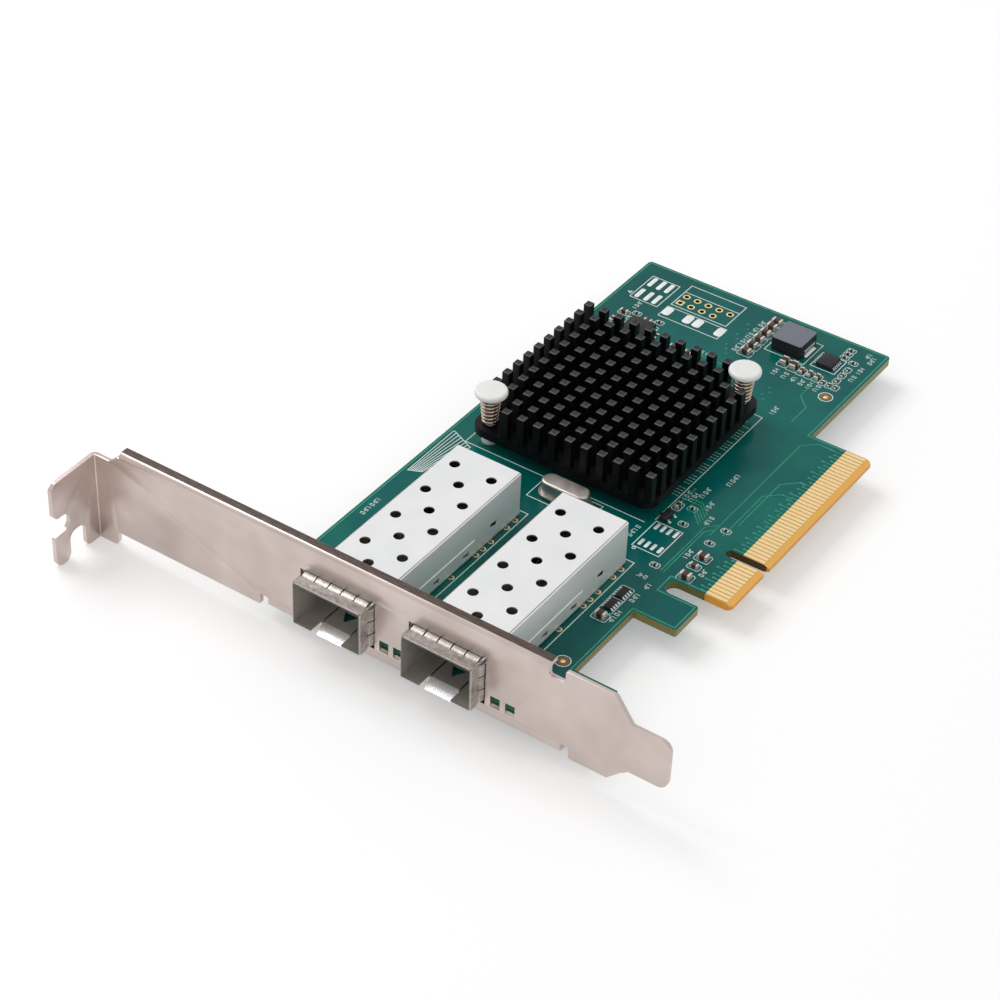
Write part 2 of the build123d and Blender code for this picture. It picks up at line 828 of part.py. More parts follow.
    # module socket at the back of the cage
    socket_back = socket_front + socket_length
    slot_back = socket_front + slot_depth
    slot_high = slot_low + slot_height
    upper_rows = spaced(centre, socket_contact_count, socket_contact_pitch)
    lower_rows = [y + socket_contact_pitch / 2 for y in upper_rows]
    with BuildPart() as module_socket:
        block(
            (socket_front, socket_back),
            (centre - socket_width / 2, centre + socket_width / 2),
            (0, socket_height),
        )
        chamfer(module_socket.edges().filter_by(Axis.Y).sort_by(Axis.Z)[-2:], length=cage_bend)
        block(
            (socket_front, slot_back),
            (centre - slot_width / 2, centre + slot_width / 2),
            (slot_low, slot_high),
            mode=Mode.SUBTRACT,
        )
        with Locations(*[spot(slot_back, y, slot_high) for y in upper_rows]):
            Box(
                socket_length - slot_depth,
                socket_contact_width,
                socket_contact_sheet,
                align=(Align.MIN, Align.CENTER, Align.MAX),
                mode=Mode.SUBTRACT,
            )

    module_socket.part.label = f"{name}_module_socket"
    export_step(module_socket.part, f"parts/{name}_module_socket.step")

    # its contacts: one row leaves at the back, the other at the front
    back_strip = [
        (socket_front + socket_tail, slot_high),
        (socket_back + socket_contact_sheet, slot_high),
        (socket_back + socket_contact_sheet, socket_contact_sheet),
        (socket_back + socket_contact_sheet + socket_tail, socket_contact_sheet),
        (socket_back + socket_contact_sheet + socket_tail, 0),
        (socket_back, 0),
        (socket_back, slot_high - socket_contact_sheet),
        (socket_front + socket_tail, slot_high - socket_contact_sheet),
    ]
    front_strip = [
        (slot_back - socket_tail, slot_low + socket_contact_sheet),
        (socket_front - socket_contact_sheet, slot_low + socket_contact_sheet),
        (socket_front - socket_contact_sheet, socket_contact_sheet),
        (socket_front - socket_contact_sheet - socket_tail, socket_contact_sheet),
        (socket_front - socket_contact_sheet - socket_tail, 0),
        (socket_front, 0),
        (socket_front, slot_low),
        (slot_back - socket_tail, slot_low),
    ]
    with BuildPart() as socket_contacts:
        strips([section(y) for y in upper_rows], back_strip, socket_contact_width)
        strips([section(y) for y in lower_rows], front_strip, socket_contact_width)

    socket_contacts.part.label = f"{name}_socket_contacts"
    export_step(socket_contacts.part, f"parts/{name}_socket_contacts.step")

# Cooler
fin_start = -(fin_count - 1) / 2 * fin_pitch
fins = []
for row in range(fin_count):
    for column in range(fin_count):
        first_corner = row < fins_left_out and column >= fin_count - fins_left_out
        last_corner = row >= fin_count - fins_left_out and column < fins_left_out
        if not (first_corner or last_corner):
            fins.append((cooler_x + fin_start + fin_pitch * row, cooler_y + fin_start + fin_pitch * column))

with BuildPart() as heatsink:
    with BuildSketch(level(base_low)):
        with Locations((cooler_x, cooler_y)):
            RectangleRounded(cooler_size, cooler_size, cooler_corner)
        with Locations(*pin_spots.values()):
            Circle(pin_shaft_radius + pin_clearance, mode=Mode.SUBTRACT)
    extrude(amount=base_thickness)
    with BuildSketch(level(base_top)):
        with Locations(*fins):
            Rectangle(fin_size, fin_size)
    extrude(amount=fin_top - fin_bevel - base_top)
    with BuildSketch(level(fin_top - fin_bevel)):
        with Locations(*fins):
            Rectangle(fin_size, fin_size)
    extrude(amount=fin_bevel, taper=45)

heatsink.part.label = "heatsink"
export_step(heatsink.part, "parts/heatsink.step")

with BuildPart() as thermal_pad:
    with Locations(spot(cooler_x, cooler_y, pad_low)):
        Box(pad_size, pad_size, pad_thickness, align=(Align.CENTER, Align.CENTER, Align.MIN))

thermal_pad.part.label = "thermal_pad"
export_step(thermal_pad.part, "parts/thermal_pad.step")

with BuildPart() as controller_chip:
    with Locations(spot(cooler_x, cooler_y)):
        Box(chip_size, chip_size, chip_board, align=(Align.CENTER, Align.CENTER, Align.MIN))
    with Locations(spot(cooler_x, cooler_y, chip_board)):
        cap = chip_size - chip_step * 2
        Box(cap, cap, pad_low - chip_board, align=(Align.CENTER, Align.CENTER, Align.MIN))

controller_chip.part.label = "controller_chip"
export_step(controller_chip.part, "parts/controller_chip.step")

# Push pins and their springs
pin_collar_top = base_low - pin_air
pin_barb_top = -board_thickness - pin_air * 2
spring_height = pin_head_low - base_top - wire_radius * 2 - pin_air * 2
spring_start = base_top + wire_radius + pin_air

for name, (pin_x, pin_y) in pin_spots.items():
    with BuildPart() as push_pin:
        with BuildSketch(Plane(origin=spot(pin_x, pin_y), x_dir=(1, 0, 0), z_dir=(0, -1, 0))):
            with BuildLine():
                FilletPolyline(
                    (0, pin_head_low + pin_head_height),
                    (pin_head_radius, pin_head_low + pin_head_height),
                    (pin_head_radius, pin_head_low),
                    (pin_shaft_radius, pin_head_low),
                    (pin_shaft_radius, pin_collar_top),
                    (pin_collar_radius, pin_collar_top),
                    (pin_collar_radius, pin_air),
                    (pin_neck_radius, pin_air),
                    (pin_neck_radius, pin_barb_top),
                    (pin_barb_radius, pin_barb_top),
                    (pin_tip_radius, pin_barb_top - pin_barb_height),
                    (0, pin_barb_top - pin_barb_height),
                    radius=[pin_head_round, pin_head_round, 0, 0, 0, 0, 0, 0, 0, pin_tip_round],
                )
                Line((0, pin_barb_top - pin_barb_height), (0, pin_head_low + pin_head_height))
            make_face()
        revolve(axis=Axis(spot(pin_x, pin_y), (0, 0, 1)))
        split_low = pin_barb_top - pin_barb_height
        block(
            (pin_x - pin_split / 2, pin_x + pin_split / 2),
            (pin_y - pin_barb_radius, pin_y + pin_barb_radius),
            (split_low - pin_split, -board_thickness / 2),
            mode=Mode.SUBTRACT,
        )

    push_pin.part.label = f"{name}_push_pin"
    export_step(push_pin.part, f"parts/{name}_push_pin.step")

    with BuildPart() as push_pin_spring:
        with BuildLine() as coil:
            Helix(
                pitch=spring_height / spring_turns,
                height=spring_height,
                radius=spring_low_radius,
                center=spot(pin_x, pin_y, spring_start),
                cone_angle=spring_cone,
            )
        with BuildSketch(Plane(origin=coil.line @ 0, z_dir=coil.line % 0)):
            Circle(wire_radius)
        sweep(path=coil.line, is_frenet=True)

    push_pin_spring.part.label = f"{name}_push_pin_spring"
    export_step(push_pin_spring.part, f"parts/{name}_push_pin_spring.step")

# Crystal
with BuildPart() as crystal_can:
    can_low = crystal_pad + crystal_flange_height
    with BuildSketch(level(crystal_pad)):
        with Locations((crystal_x, crystal_y)):
            SlotOverall(crystal_flange_length, crystal_flange_width, rotation=90)
    extrude(amount=crystal_flange_height)
    with BuildSketch(level(can_low)):
        with Locations((crystal_x, crystal_y)):
            SlotOverall(crystal_can_length, crystal_can_width, rotation=90)
    extrude(amount=crystal_top - can_low)
    top_rim = crystal_can.faces().sort_by(Axis.Z)[-1].edges()
    fillet(top_rim, radius=crystal_round)

crystal_can.part.label = "crystal_can"
export_step(crystal_can.part, "parts/crystal_can.step")

with BuildPart() as crystal_insulator:
    with BuildSketch(level(0)):
        with Locations((crystal_x, crystal_y)):
            SlotOverall(crystal_flange_length, crystal_flange_width, rotation=90)
        with Locations(*crystal_holes):
            Circle(crystal_lead_radius + hole_wall, mode=Mode.SUBTRACT)
    extrude(amount=crystal_pad)

crystal_insulator.part.label = "crystal_insulator"
export_step(crystal_insulator.part, "parts/crystal_insulator.step")

with BuildPart() as crystal_leads:
    lead_length = crystal_pad + crystal_lead_drop
    with Locations(*[spot(x, y, crystal_pad) for x, y in crystal_holes]):
        Cylinder(crystal_lead_radius, lead_length, align=(Align.CENTER, Align.CENTER, Align.MAX))

crystal_leads.part.label = "crystal_leads"
export_step(crystal_leads.part, "parts/crystal_leads.step")

# Power inductor
with BuildPart() as power_inductor:
    with BuildSketch(level(0)):
        with Locations((inductor_x, inductor_y)):
            Rectangle(inductor_size, inductor_size)
            chamfer(vertices(), length=inductor_cut)
    extrude(amount=inductor_top)
    fillet(power_inductor.faces().sort_by(Axis.Z)[-1].edges(), radius=inductor_clip_sheet)

power_inductor.part.label = "power_inductor"
export_step(power_inductor.part, "parts/power_inductor.step")

with BuildPart() as inductor_clips:
    clip_x = (inductor_x - inductor_clip_width / 2, inductor_x + inductor_clip_width / 2)
    for side in (-1, 1):
        wall = inductor_y + side * inductor_size / 2
        riser = sorted((wall, wall + side * inductor_clip_sheet))
        foot = sorted((wall, wall + side * inductor_clip_foot))
        block(clip_x, riser, (0, inductor_clip_height))
        block(clip_x, foot, (0, inductor_clip_sheet))

inductor_clips.part.label = "inductor_clips"
export_step(inductor_clips.part, "parts/inductor_clips.step")


# Small packages
def package(x, y, length, width, top):
    """A moulded body that stands just clear of the board."""
    block(
        (x - length / 2, x + length / 2),
        (y - width / 2, y + width / 2),
        (lead_sheet / 2, top),
    )


def legs(x_places, y, body_width, width, height, foot, sides=(-1, 1)):
    """Bent legs on the long sides: a short shelf, a drop and a foot on the board."""
    for side in sides:
        wall = y + side * body_width / 2
        knee = wall + side * foot * knee_share
        toe = wall + side * foot
        inner_knee = knee - side * lead_sheet
        leg = [
            (wall, height),
            (knee, height),
            (knee, lead_sheet),
            (toe, lead_sheet),
            (toe, 0),
            (inner_knee, 0),
            (inner_knee, height - lead_sheet),
            (wall, height - lead_sheet),
        ]
        strips([facing(x) for x in x_places], leg, width)


with BuildPart() as flash_chip:
    package(flash_x, flash_y, flash_length, flash_width, flash_top)

flash_chip.part.label = "flash_chip"
export_step(flash_chip.part, "parts/flash_chip.step")

with BuildPart() as buck_regulator:
    package(regulator_x, regulator_y, regulator_length, regulator_width, regulator_top)

buck_regulator.part.label = "buck_regulator"
export_step(buck_regulator.part, "parts/buck_regulator.step")

with BuildPart() as linear_regulator:
    package(linear_x, linear_y, linear_length, linear_width, linear_top)

linear_regulator.part.label = "linear_regulator"
export_step(linear_regulator.part, "parts/linear_regulator.step")

with BuildPart() as resistor_arrays:
    for x in array_x:
        package(x, array_y, array_length, array_width, array_top)

resistor_arrays.part.label = "resistor_arrays"
export_step(resistor_arrays.part, "parts/resistor_arrays.step")

with BuildPart() as chip_legs:
    legs(
        spaced(flash_x, 4, flash_pitch), flash_y, flash_width,
        flash_leg, flash_top / 2, flash_foot,
    )
    legs(
        spaced(regulator_x, 5, regulator_pitch), regulator_y, regulator_width,
        regulator_leg, regulator_top / 2, regulator_foot,
    )
    legs(
        spaced(linear_x, 2, linear_pitch), linear_y, linear_width,
        linear_leg, linear_top / 2, linear_foot, sides=(-1,),
    )
    legs(
        (linear_x,), linear_y, linear_width,
        linear_leg, linear_top / 2, linear_foot, sides=(1,),
    )
    for x in array_x:
        legs(spaced(x, 4, array_pitch), array_y, array_width, array_leg, array_shelf, array_foot)

chip_legs.part.label = "chip_legs"
export_step(chip_legs.part, "parts/chip_legs.step")


# Chip capacitors and resistors
def chip_pieces(places, size, low, high, inset):
    """Blocks from low to high along each chip, drawn in by inset on its sides and top."""
    length, width, height = size
    for turned in (False, True):
        spin = (0, 0, 90) if turned else (0, 0, 0)
        centres = []
        for x, y, lies_along_y in places:
            if lies_along_y == turned:
                shift = (low + high) / 2
                centres.append(spot(x, y + shift) if turned else spot(x + shift, y))
        if centres:
            with Locations(*centres):
                Box(
                    high - low,
                    width - inset * 2,
                    height - inset,
                    rotation=spin,
                    align=(Align.CENTER, Align.CENTER, Align.MIN),
                )


chip_groups = {
    "medium_capacitors": (medium_capacitors, medium_size),
    "small_capacitors": (small_capacitors, small_size),
    "chip_resistors": (resistors, resistor_size),
}
for name, (places, size) in chip_groups.items():
    with BuildPart() as chip_bodies:
        body_half = size[0] * (0.5 - cap_share)
        chip_pieces(places, size, -body_half, body_half, cap_swell)

    chip_bodies.part.label = name
    export_step(chip_bodies.part, f"parts/{name}.step")

with BuildPart() as chip_end_caps:
    for places, size in chip_groups.values():
        half = size[0] / 2
        cap = size[0] * cap_share
        chip_pieces(places, size, -half, cap - half, 0)
        chip_pieces(places, size, half - cap, half, 0)

chip_end_caps.part.label = "chip_end_caps"
export_step(chip_end_caps.part, "parts/chip_end_caps.step")

# Indicator lamps behind the small windows
with BuildPart() as indicator_lamps:
    with Locations(*[spot(led_x, y) for y in window_y]):
        Box(*led_size, align=(Align.CENTER, Align.CENTER, Align.MIN))

indicator_lamps.part.label = "indicator_lamps"
export_step(indicator_lamps.part, "parts/indicator_lamps.step")

# Bare solder pads of footprints that hold no component
pad_groups = [
    ([(board_end - d, y) for d in (6.4, 11.2) for y in (51.3, 49.2, 47.3)], (3.4, 0.95)),
    ([(x, y) for x in (56.95, 51.6) for y in (9.0, 7.7, 6.4, 5.0)], (1.9, 0.65)),
    ([(board_end - 13.3, y) for y in (43.4, 38.6, 36.35, 31.3)], (2.9, 1.8)),
]
with BuildPart() as solder_pads:
    for places, (length, width) in pad_groups:
        with BuildSketch(level(0)) as pads:
            with Locations(*places):
                RectangleRounded(length, width, width * pad_round)
        extrude(pads.sketch, amount=solder_thickness, dir=(0, 0, 1))

solder_pads.part.label = "solder_pads"
export_step(solder_pads.part, "parts/solder_pads.step")
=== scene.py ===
# %% [markdown]
# # Dressing a network card
# The card already exists as exact solids. This script puts them in front of a camera, gives every
# surface its finish, and adds what is too thin or too fine for the solids: the printed lines,
# the copper that shows through the green mask, and the solder.

# %% Load the solid model
import math

import bmesh
import bpy
from mathutils import Matrix, Vector


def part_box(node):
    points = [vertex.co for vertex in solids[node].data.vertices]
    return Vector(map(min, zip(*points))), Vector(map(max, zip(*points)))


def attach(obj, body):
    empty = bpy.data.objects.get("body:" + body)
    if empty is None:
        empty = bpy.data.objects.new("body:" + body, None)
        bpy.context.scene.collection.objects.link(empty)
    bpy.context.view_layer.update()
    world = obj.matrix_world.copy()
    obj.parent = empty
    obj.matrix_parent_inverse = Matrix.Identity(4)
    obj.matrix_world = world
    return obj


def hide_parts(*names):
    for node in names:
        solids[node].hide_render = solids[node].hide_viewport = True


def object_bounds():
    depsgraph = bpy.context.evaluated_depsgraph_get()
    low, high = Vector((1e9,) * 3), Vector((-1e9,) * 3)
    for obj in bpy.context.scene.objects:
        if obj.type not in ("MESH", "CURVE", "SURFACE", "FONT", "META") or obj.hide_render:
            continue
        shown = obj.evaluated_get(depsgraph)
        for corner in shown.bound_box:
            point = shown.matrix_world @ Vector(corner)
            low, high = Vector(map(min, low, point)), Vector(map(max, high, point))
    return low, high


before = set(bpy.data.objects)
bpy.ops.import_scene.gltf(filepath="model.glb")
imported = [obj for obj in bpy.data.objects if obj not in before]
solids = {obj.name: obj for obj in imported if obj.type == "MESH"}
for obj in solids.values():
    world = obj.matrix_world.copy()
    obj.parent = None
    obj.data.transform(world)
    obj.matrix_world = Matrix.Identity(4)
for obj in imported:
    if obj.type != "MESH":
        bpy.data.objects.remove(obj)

solid_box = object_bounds()
print("solids loaded:", len(solids))

# %% [markdown]
# ## Places on the card
# On the real card every place is measured from the corner where the bracket's outer face meets
# the board's lower edge. The same corner is found here from the board's own box, so a place read
# off the card, in millimetres, can be used as it is.

# %% A ruler for the card
MM = 0.001
BOARD_SETBACK = 1.4
TONGUE_DROP = 13.0
board_low, board_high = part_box("circuit_board")
corner = Vector((board_low.x - BOARD_SETBACK * MM, board_low.y + TONGUE_DROP * MM, board_high.z))


def on_card(x, y, z=0.0):
    """A place on the card, in the scene's metres."""
    return corner + Vector((x, y, z)) * MM


print("card corner:", [round(v / MM, 2) for v in corner])

# %% [markdown]
# ## The camera
# A product photograph is taken with a long lens from a little above. The position and the three
# directions below were worked out once from edges of known length, so the picture and the model
# line up. A camera looks along its own minus z, so the columns are right, up and backwards.

# %% Camera
RIGHT = (0.568370, -0.822092, 0.0334735)
UP = (0.500806, 0.377949, 0.778683)
BACKWARD = (-0.652800, -0.425817, 0.626524)
CAMERA_PLACE = (-269.927, -170.194, 303.376)
LENS_LENGTH = 95.817
SENSOR_WIDTH = 36.0
camera_data = bpy.data.cameras.new("camera")
camera_data.lens = LENS_LENGTH
camera_data.sensor_width = SENSOR_WIDTH
camera_data.clip_start = 0.02
camera_data.clip_end = 20.0
camera = bpy.data.objects.new("camera", camera_data)
bpy.context.scene.collection.objects.link(camera)
turn = Matrix((RIGHT, UP, BACKWARD)).transposed().to_4x4()
camera.matrix_world = Matrix.Translation(on_card(*CAMERA_PLACE)) @ turn
bpy.context.scene.camera = camera
bpy.context.scene.view_settings.view_transform = "Standard"
print("camera distance:", round((camera.location - corner).length, 3), "m")

# %% [markdown]
# ## Writing nodes as sentences
# Materials and Geometry Nodes are both graphs. One small class adds a node from its type, its
# settings and its values; another wraps a socket so that sums and products of sockets can be
# written as plain arithmetic, and each sign adds its Math node.


# %% Graph helpers
class Wire:
    """One output of a graph. Arithmetic on wires adds Math nodes."""

    def __init__(self, graph, socket):
        self.graph = graph
        self.socket = socket

    def _maths(self, operation, first, second):
        return self.graph.node("ShaderNodeMath", {"operation": operation}, {0: first, 1: second})

    def __add__(self, other):
        return self._maths("ADD", self, other)

    def __radd__(self, other):
        return self._maths("ADD", other, self)

    def __sub__(self, other):
        return self._maths("SUBTRACT", self, other)

    def __rsub__(self, other):
        return self._maths("SUBTRACT", other, self)

    def __mul__(self, other):
        return self._maths("MULTIPLY", self, other)

    def __rmul__(self, other):
        return self._maths("MULTIPLY", other, self)

    def __gt__(self, other):
        return self._maths("GREATER_THAN", self, other)

    def __lt__(self, other):
        return self._maths("LESS_THAN", self, other)

    def absolute(self):
        return self._maths("ABSOLUTE", self, 0.0)

    def sine(self):
        return self._maths("SINE", self, 0.0)

    def lower(self, other):
        return self._maths("MINIMUM", self, other)

    def higher(self, other):
        return self._maths("MAXIMUM", self, other)


class Graph:
    """A node tree that is written one node at a time."""

    def __init__(self, tree):
        self.tree = tree

    def node(self, kind, settings=None, values=None, output=0):
        """Adds a node: its settings come first, then the values or wires of its sockets."""
        made = self.tree.nodes.new(kind)
        for name, value in (settings or {}).items():
            setattr(made, name, value)
        for name, value in (values or {}).items():
            if isinstance(value, Wire):
                self.tree.links.new(value.socket, made.inputs[name])
            else:
                made.inputs[name].default_value = value
        return Wire(self, made.outputs[output])

    def close(self, kind, socket, wire):
        """Adds the node that ends the graph."""
        last = self.tree.nodes.new(kind)
        self.tree.links.new(wire.socket, last.inputs[socket])

    def outputs(self, wire, *names):
        """Other outputs of the node that a wire comes from."""
        return [Wire(self, wire.socket.node.outputs[name]) for name in names]


print("helpers ready:", [kind.__name__ for kind in (Wire, Graph)])

# %% [markdown]
# ## Colours and finishes
# A colour is easiest to judge as the screen shows it, from 0 to 255, but light is added up in
# linear values, so each one is converted. A finish is a Principled shader with a few habits:
# patterns are read in the card's own metres, so a one-millimetre mark is one millimetre on
# every part, and no real surface is one even tone, so colour, gloss and height all vary a little.


# %% Finish helpers
def paint(red, green, blue):
    """A colour as the screen shows it, turned into linear values."""
    shown = [channel / 255 for channel in (red, green, blue)]
    linear = [c / 12.92 if c < 0.04045 else ((c + 0.055) / 1.055) ** 2.4 for c in shown]
    return (*linear, 1.0)


class Finish(Graph):
    """A material built round one Principled shader."""

    def __init__(self, name, **fixed):
        self.material = bpy.data.materials.new(name)
        self.material.use_nodes = True
        super().__init__(self.material.node_tree)
        self.tree.nodes.clear()
        shader = self.node("ShaderNodeBsdfPrincipled")
        self.shader = shader.socket.node
        self.close("ShaderNodeOutputMaterial", "Surface", shader)
        self.place = self.node("ShaderNodeTexCoord", output="Object")
        for socket, value in fixed.items():
            self.feed(socket.replace("_", " "), value)

    def feed(self, socket, value):
        """Sets one socket of the shader, to a value or to a wire."""
        if isinstance(value, Wire):
            self.tree.links.new(value.socket, self.shader.inputs[socket])
        else:
            self.shader.inputs[socket].default_value = value

    def noise(self, size, detail=3.0, stretch=(1.0, 1.0, 1.0)):
        """Cloudy noise whose patches are about size millimetres across."""
        scaled = self.node("ShaderNodeMapping", None, {"Vector": self.place, "Scale": stretch})
        return self.node(
            "ShaderNodeTexNoise", None, {"Vector": scaled, "Scale": 1 / (size * MM), "Detail": detail}
        )

    def spread(self, wire, low, high, from_low=0.3, from_high=0.7):
        """A noise value stretched to lie between low and high."""
        return self.node(
            "ShaderNodeMapRange",
            {"clamp": True},
            {"Value": wire, "From Min": from_low, "From Max": from_high, "To Min": low, "To Max": high},
        )

    def mix(self, factor, first, second):
        """Two colours mixed by a factor."""
        return self.node(
            "ShaderNodeMix",
            {"data_type": "RGBA", "clamp_factor": True},
            {0: factor, 6: first, 7: second},
            output=2,
        )

    def relief(self, height, depth):
        """A bump whose full height is depth millimetres."""
        values = {"Height": height, "Distance": depth * MM, "Strength": 1.0}
        return self.node("ShaderNodeBump", None, values)

    def parts(self, wire):
        """The x, y and z of a vector."""
        split = self.node("ShaderNodeSeparateXYZ", None, {0: wire})
        return self.outputs(split, "X", "Y", "Z")

    def card_place(self):
        """The place on the card, in millimetres."""
        return [(wire - at) * (1 / MM) for wire, at in zip(self.parts(self.place), corner)]

    def upness(self):
        """1 where a surface is level and 0 where it is upright."""
        return self.parts(self.node("ShaderNodeNewGeometry", output="Normal"))[2].absolute()


def plain_finish(name, light, dark, patch, gloss, metallic=0.0, grain=0.3, depth=0.003, **fixed):
    """A finish that drifts between two tones, with gloss that drifts too and a fine grain.

    patch and grain are sizes in millimetres, and depth is the height of the grain.
    """
    made = Finish(name, Metallic=metallic, **fixed)
    drift = made.noise(patch)
    fine = made.noise(grain, 2.0)
    tone = made.spread(drift, 0.0, 1.0) * 0.7 + made.spread(fine, 0.0, 1.0) * 0.3
    made.feed("Base Color", made.mix(tone, paint(*light), paint(*dark)))
    made.feed("Roughness", made.spread(made.noise(patch * 0.6), *gloss))
    made.feed("Normal", made.relief(fine, depth))
    return made


def cover(finish, *names):
    """Gives solids of the card a finish."""
    for name in names:
        materials = solids[name].data.materials
        materials.clear()
        materials.append(finish.material)
    print(finish.material.name, "covers", len(names))


def within(wire, low, high):
    """1 where a value lies between two limits and 0 elsewhere."""
    return (wire > low) * (wire < high)


print("a middle grey in linear values:", [round(v, 3) for v in paint(128, 128, 128)])

# %% [markdown]
# ## The green mask
# The board is woven glass and resin with copper on it, under a coat of green mask. Seen close,
# the coat is darker where the glass shows through and brighter over copper, and the weave makes
# it slightly uneven. Three layers of noise give the tones, each with patches of its own size,
# and two crossed waves give the weave.

# %% Mask coat
WEAVE_PITCH = 0.9
mask = Finish("green_mask", IOR=1.5, Specular_IOR_Level=0.17)
card_x, card_y, card_z = mask.card_place()
level = mask.upness()
waves = math.tau / WEAVE_PITCH
weave = (card_x * waves).sine() * (card_y * waves).sine()
drift = mask.spread(mask.noise(30.0, 2.0), 0.0, 1.0)
coat = mask.mix(drift, paint(0, 88, 84), paint(0, 104, 102))
coat = mask.mix(mask.spread(mask.noise(4.0), 0.0, 0.3), coat, paint(0, 72, 64))
poured = mask.spread(mask.noise(14.0, 1.0), 0.0, 0.4, 0.45, 0.75)
coat = mask.mix(poured, coat, paint(14, 128, 106))
print("nodes in the coat:", len(mask.tree.nodes))

# %% [markdown]
# ## Tongue and cut edges
# The tongue with the contacts has no mask at all, and every cut edge shows the plies of the bare
# laminate. It is all one board, so it stays one material, which picks its layer from the place on
# the card and from the direction that the surface faces.

# %% Board finish
MASK_EDGE = -7.6
TONGUE_FROM = 46.2
TONGUE_TO = 97.6
NOTCH_FROM = 57.4
NOTCH_TO = 59.4
NOTCH_FOOT = -12.5
NOTCH_HEAD = -4.0
RELIEF_FROM = 42.5
BEVEL_TOP = -11.9
PLY_PITCH = 0.26
EDGE_AIR = 0.1
bare = mask.mix(mask.spread(mask.noise(0.8), 0.0, 1.0), paint(228, 178, 108), paint(208, 156, 88))
plies = (card_z * (math.tau / PLY_PITCH)).sine()
laminate = mask.mix(mask.spread(plies, 0.2, 0.8, -1.0, 1.0), paint(176, 164, 104), paint(120, 118, 58))
laminate = mask.mix(mask.spread(mask.noise(0.5), 0.0, 0.5), laminate, paint(96, 88, 48))
gold_edge = mask.mix(mask.noise(1.2), paint(246, 176, 80), paint(226, 150, 58))
on_tongue = within(card_x, TONGUE_FROM, TONGUE_TO) * (card_y < MASK_EDGE)
upper = mask.mix(on_tongue, coat, bare)
in_notch = within(card_x, NOTCH_FROM - EDGE_AIR, NOTCH_TO + EDGE_AIR)
in_notch = in_notch * within(card_y, NOTCH_FOOT, NOTCH_HEAD)
in_relief = within(card_x, RELIEF_FROM, TONGUE_FROM + EDGE_AIR) * (card_y < 0.0)
side = mask.mix(in_relief, laminate, paint(112, 112, 58))
side = mask.mix(on_tongue, side, gold_edge)
# The key notch's walls are painted dark brown: painted shade in the narrow notch.
side = mask.mix(in_notch, side, paint(84, 68, 36))
bevel = on_tongue * (card_y < BEVEL_TOP) * (level < 0.995)
upper = mask.mix(bevel, upper, paint(248, 188, 96))
mask.feed("Base Color", mask.mix(level > 0.5, side, upper))
gloss = mask.spread(mask.noise(6.0), 0.16, 0.26)
mask.feed("Roughness", gloss.higher(on_tongue * 0.36))
mask.feed("Normal", mask.relief(mask.noise(0.5, 2.0) * 0.6 + weave * 0.2, 0.006))
cover(mask, "circuit_board")

# %% [markdown]
# ## Bracket
# The bracket is nickel-plated sheet, rolled along its length, so its grain runs that way. Its
# narrow top flange is painted dark brown with streaks along its length, a painted dark reflection,
# and it is rougher and less metallic than the plate.

# %% Bracket finish
FLANGE_TOP = 15.74
FLANGE_FROM = -5.2
satin = Finish("bracket_nickel")
_, card_y, card_z = satin.card_place()
flange = (card_z > FLANGE_TOP) * (satin.upness() > 0.9) * (card_y > FLANGE_FROM)
rolled = satin.noise(0.5, 4.0, (1.0, 0.06, 1.0))
drift = satin.spread(satin.noise(9.0, 2.0), 0.0, 1.0)
plated = satin.mix(drift, paint(212, 198, 192), paint(196, 182, 175))
streaks = satin.noise(0.25, 4.0, (1.0, 0.12, 1.0))
# The flange's top is painted dark brown with streaks: a painted dark reflection.
painted_dark_reflection = satin.mix(satin.spread(streaks, 0.0, 1.0), paint(112, 96, 90), paint(72, 58, 54))
satin.feed("Base Color", satin.mix(flange, plated, painted_dark_reflection))
satin.feed("Metallic", 1.0 - flange * 0.5)
satin.feed("Roughness", satin.spread(rolled, 0.3, 0.42).higher(flange * 0.6))
satin.feed("Normal", satin.relief(rolled, 0.002))
print("nodes in the bracket's finish:", len(satin.tree.nodes))

# %% [markdown]
# ## Port cages
# The cages are bright sheet, sharpest on top where the strip was rolled smooth and softer on the
# walls that were bent down. The walls are painted a little greyer than the top, as painted shade,
# and the inside is painted a dull brownish grey, as painted shade in the hollow of the cage. The
# cut edges and the pins' feet in their plated holes are dark.

# %% Cage finish
CAGE_MIDDLES = (37.85, 15.08)
INNER_HALF = 6.9
CAGE_SKIN = 9.51
MOUTH_EDGE = -3.2
FOOT_TOP = 0.32
FEET_FROM = 10.0
LIP_TOP = 0.8
cage_tin = Finish("cage_nickel")
card_x, card_y, card_z = cage_tin.card_place()
wall = cage_tin.upness() < 0.5
from_middle, from_other = [(card_y - middle).absolute() for middle in CAGE_MIDDLES]
from_middle = from_middle.lower(from_other)
lip = (card_z < LIP_TOP) * (card_x < 0.0)
inside = (from_middle < INNER_HALF) * (card_z < CAGE_SKIN) * (1.0 - lip)
cut_edge = (card_x < MOUTH_EDGE).higher((card_z < FOOT_TOP) * (card_x > FEET_FROM))
cloudy = cage_tin.spread(cage_tin.noise(9.0), 0.0, 1.0)
skin = cage_tin.mix(cloudy, paint(252, 252, 252), paint(246, 247, 248))
# The walls are painted greyer than the top: painted shade.
skin = cage_tin.mix(wall, skin, paint(238, 241, 240))
# The inside is painted a dull brownish grey: painted shade in the hollow of the cage.
inside_painted_shade = cage_tin.mix(cloudy, paint(190, 183, 174), paint(140, 134, 128))
tone = cage_tin.mix(inside, skin, inside_painted_shade)
tone = cage_tin.mix(cut_edge * 0.75, tone, paint(60, 56, 54))
cage_tin.feed("Base Color", tone)
cage_tin.feed("Metallic", 1.0 - inside.higher(wall * 0.7) * 0.6)
polish = cage_tin.spread(cage_tin.noise(5.0), 0.2, 0.28)
cage_tin.feed("Roughness", polish.higher(wall * 0.5).higher(inside * 0.5))
cage_tin.feed("Normal", cage_tin.relief(cage_tin.noise(1.5, 2.0), 0.001))
cover(cage_tin, "left_cage_shell", "left_cage_floor", "right_cage_shell", "right_cage_floor")
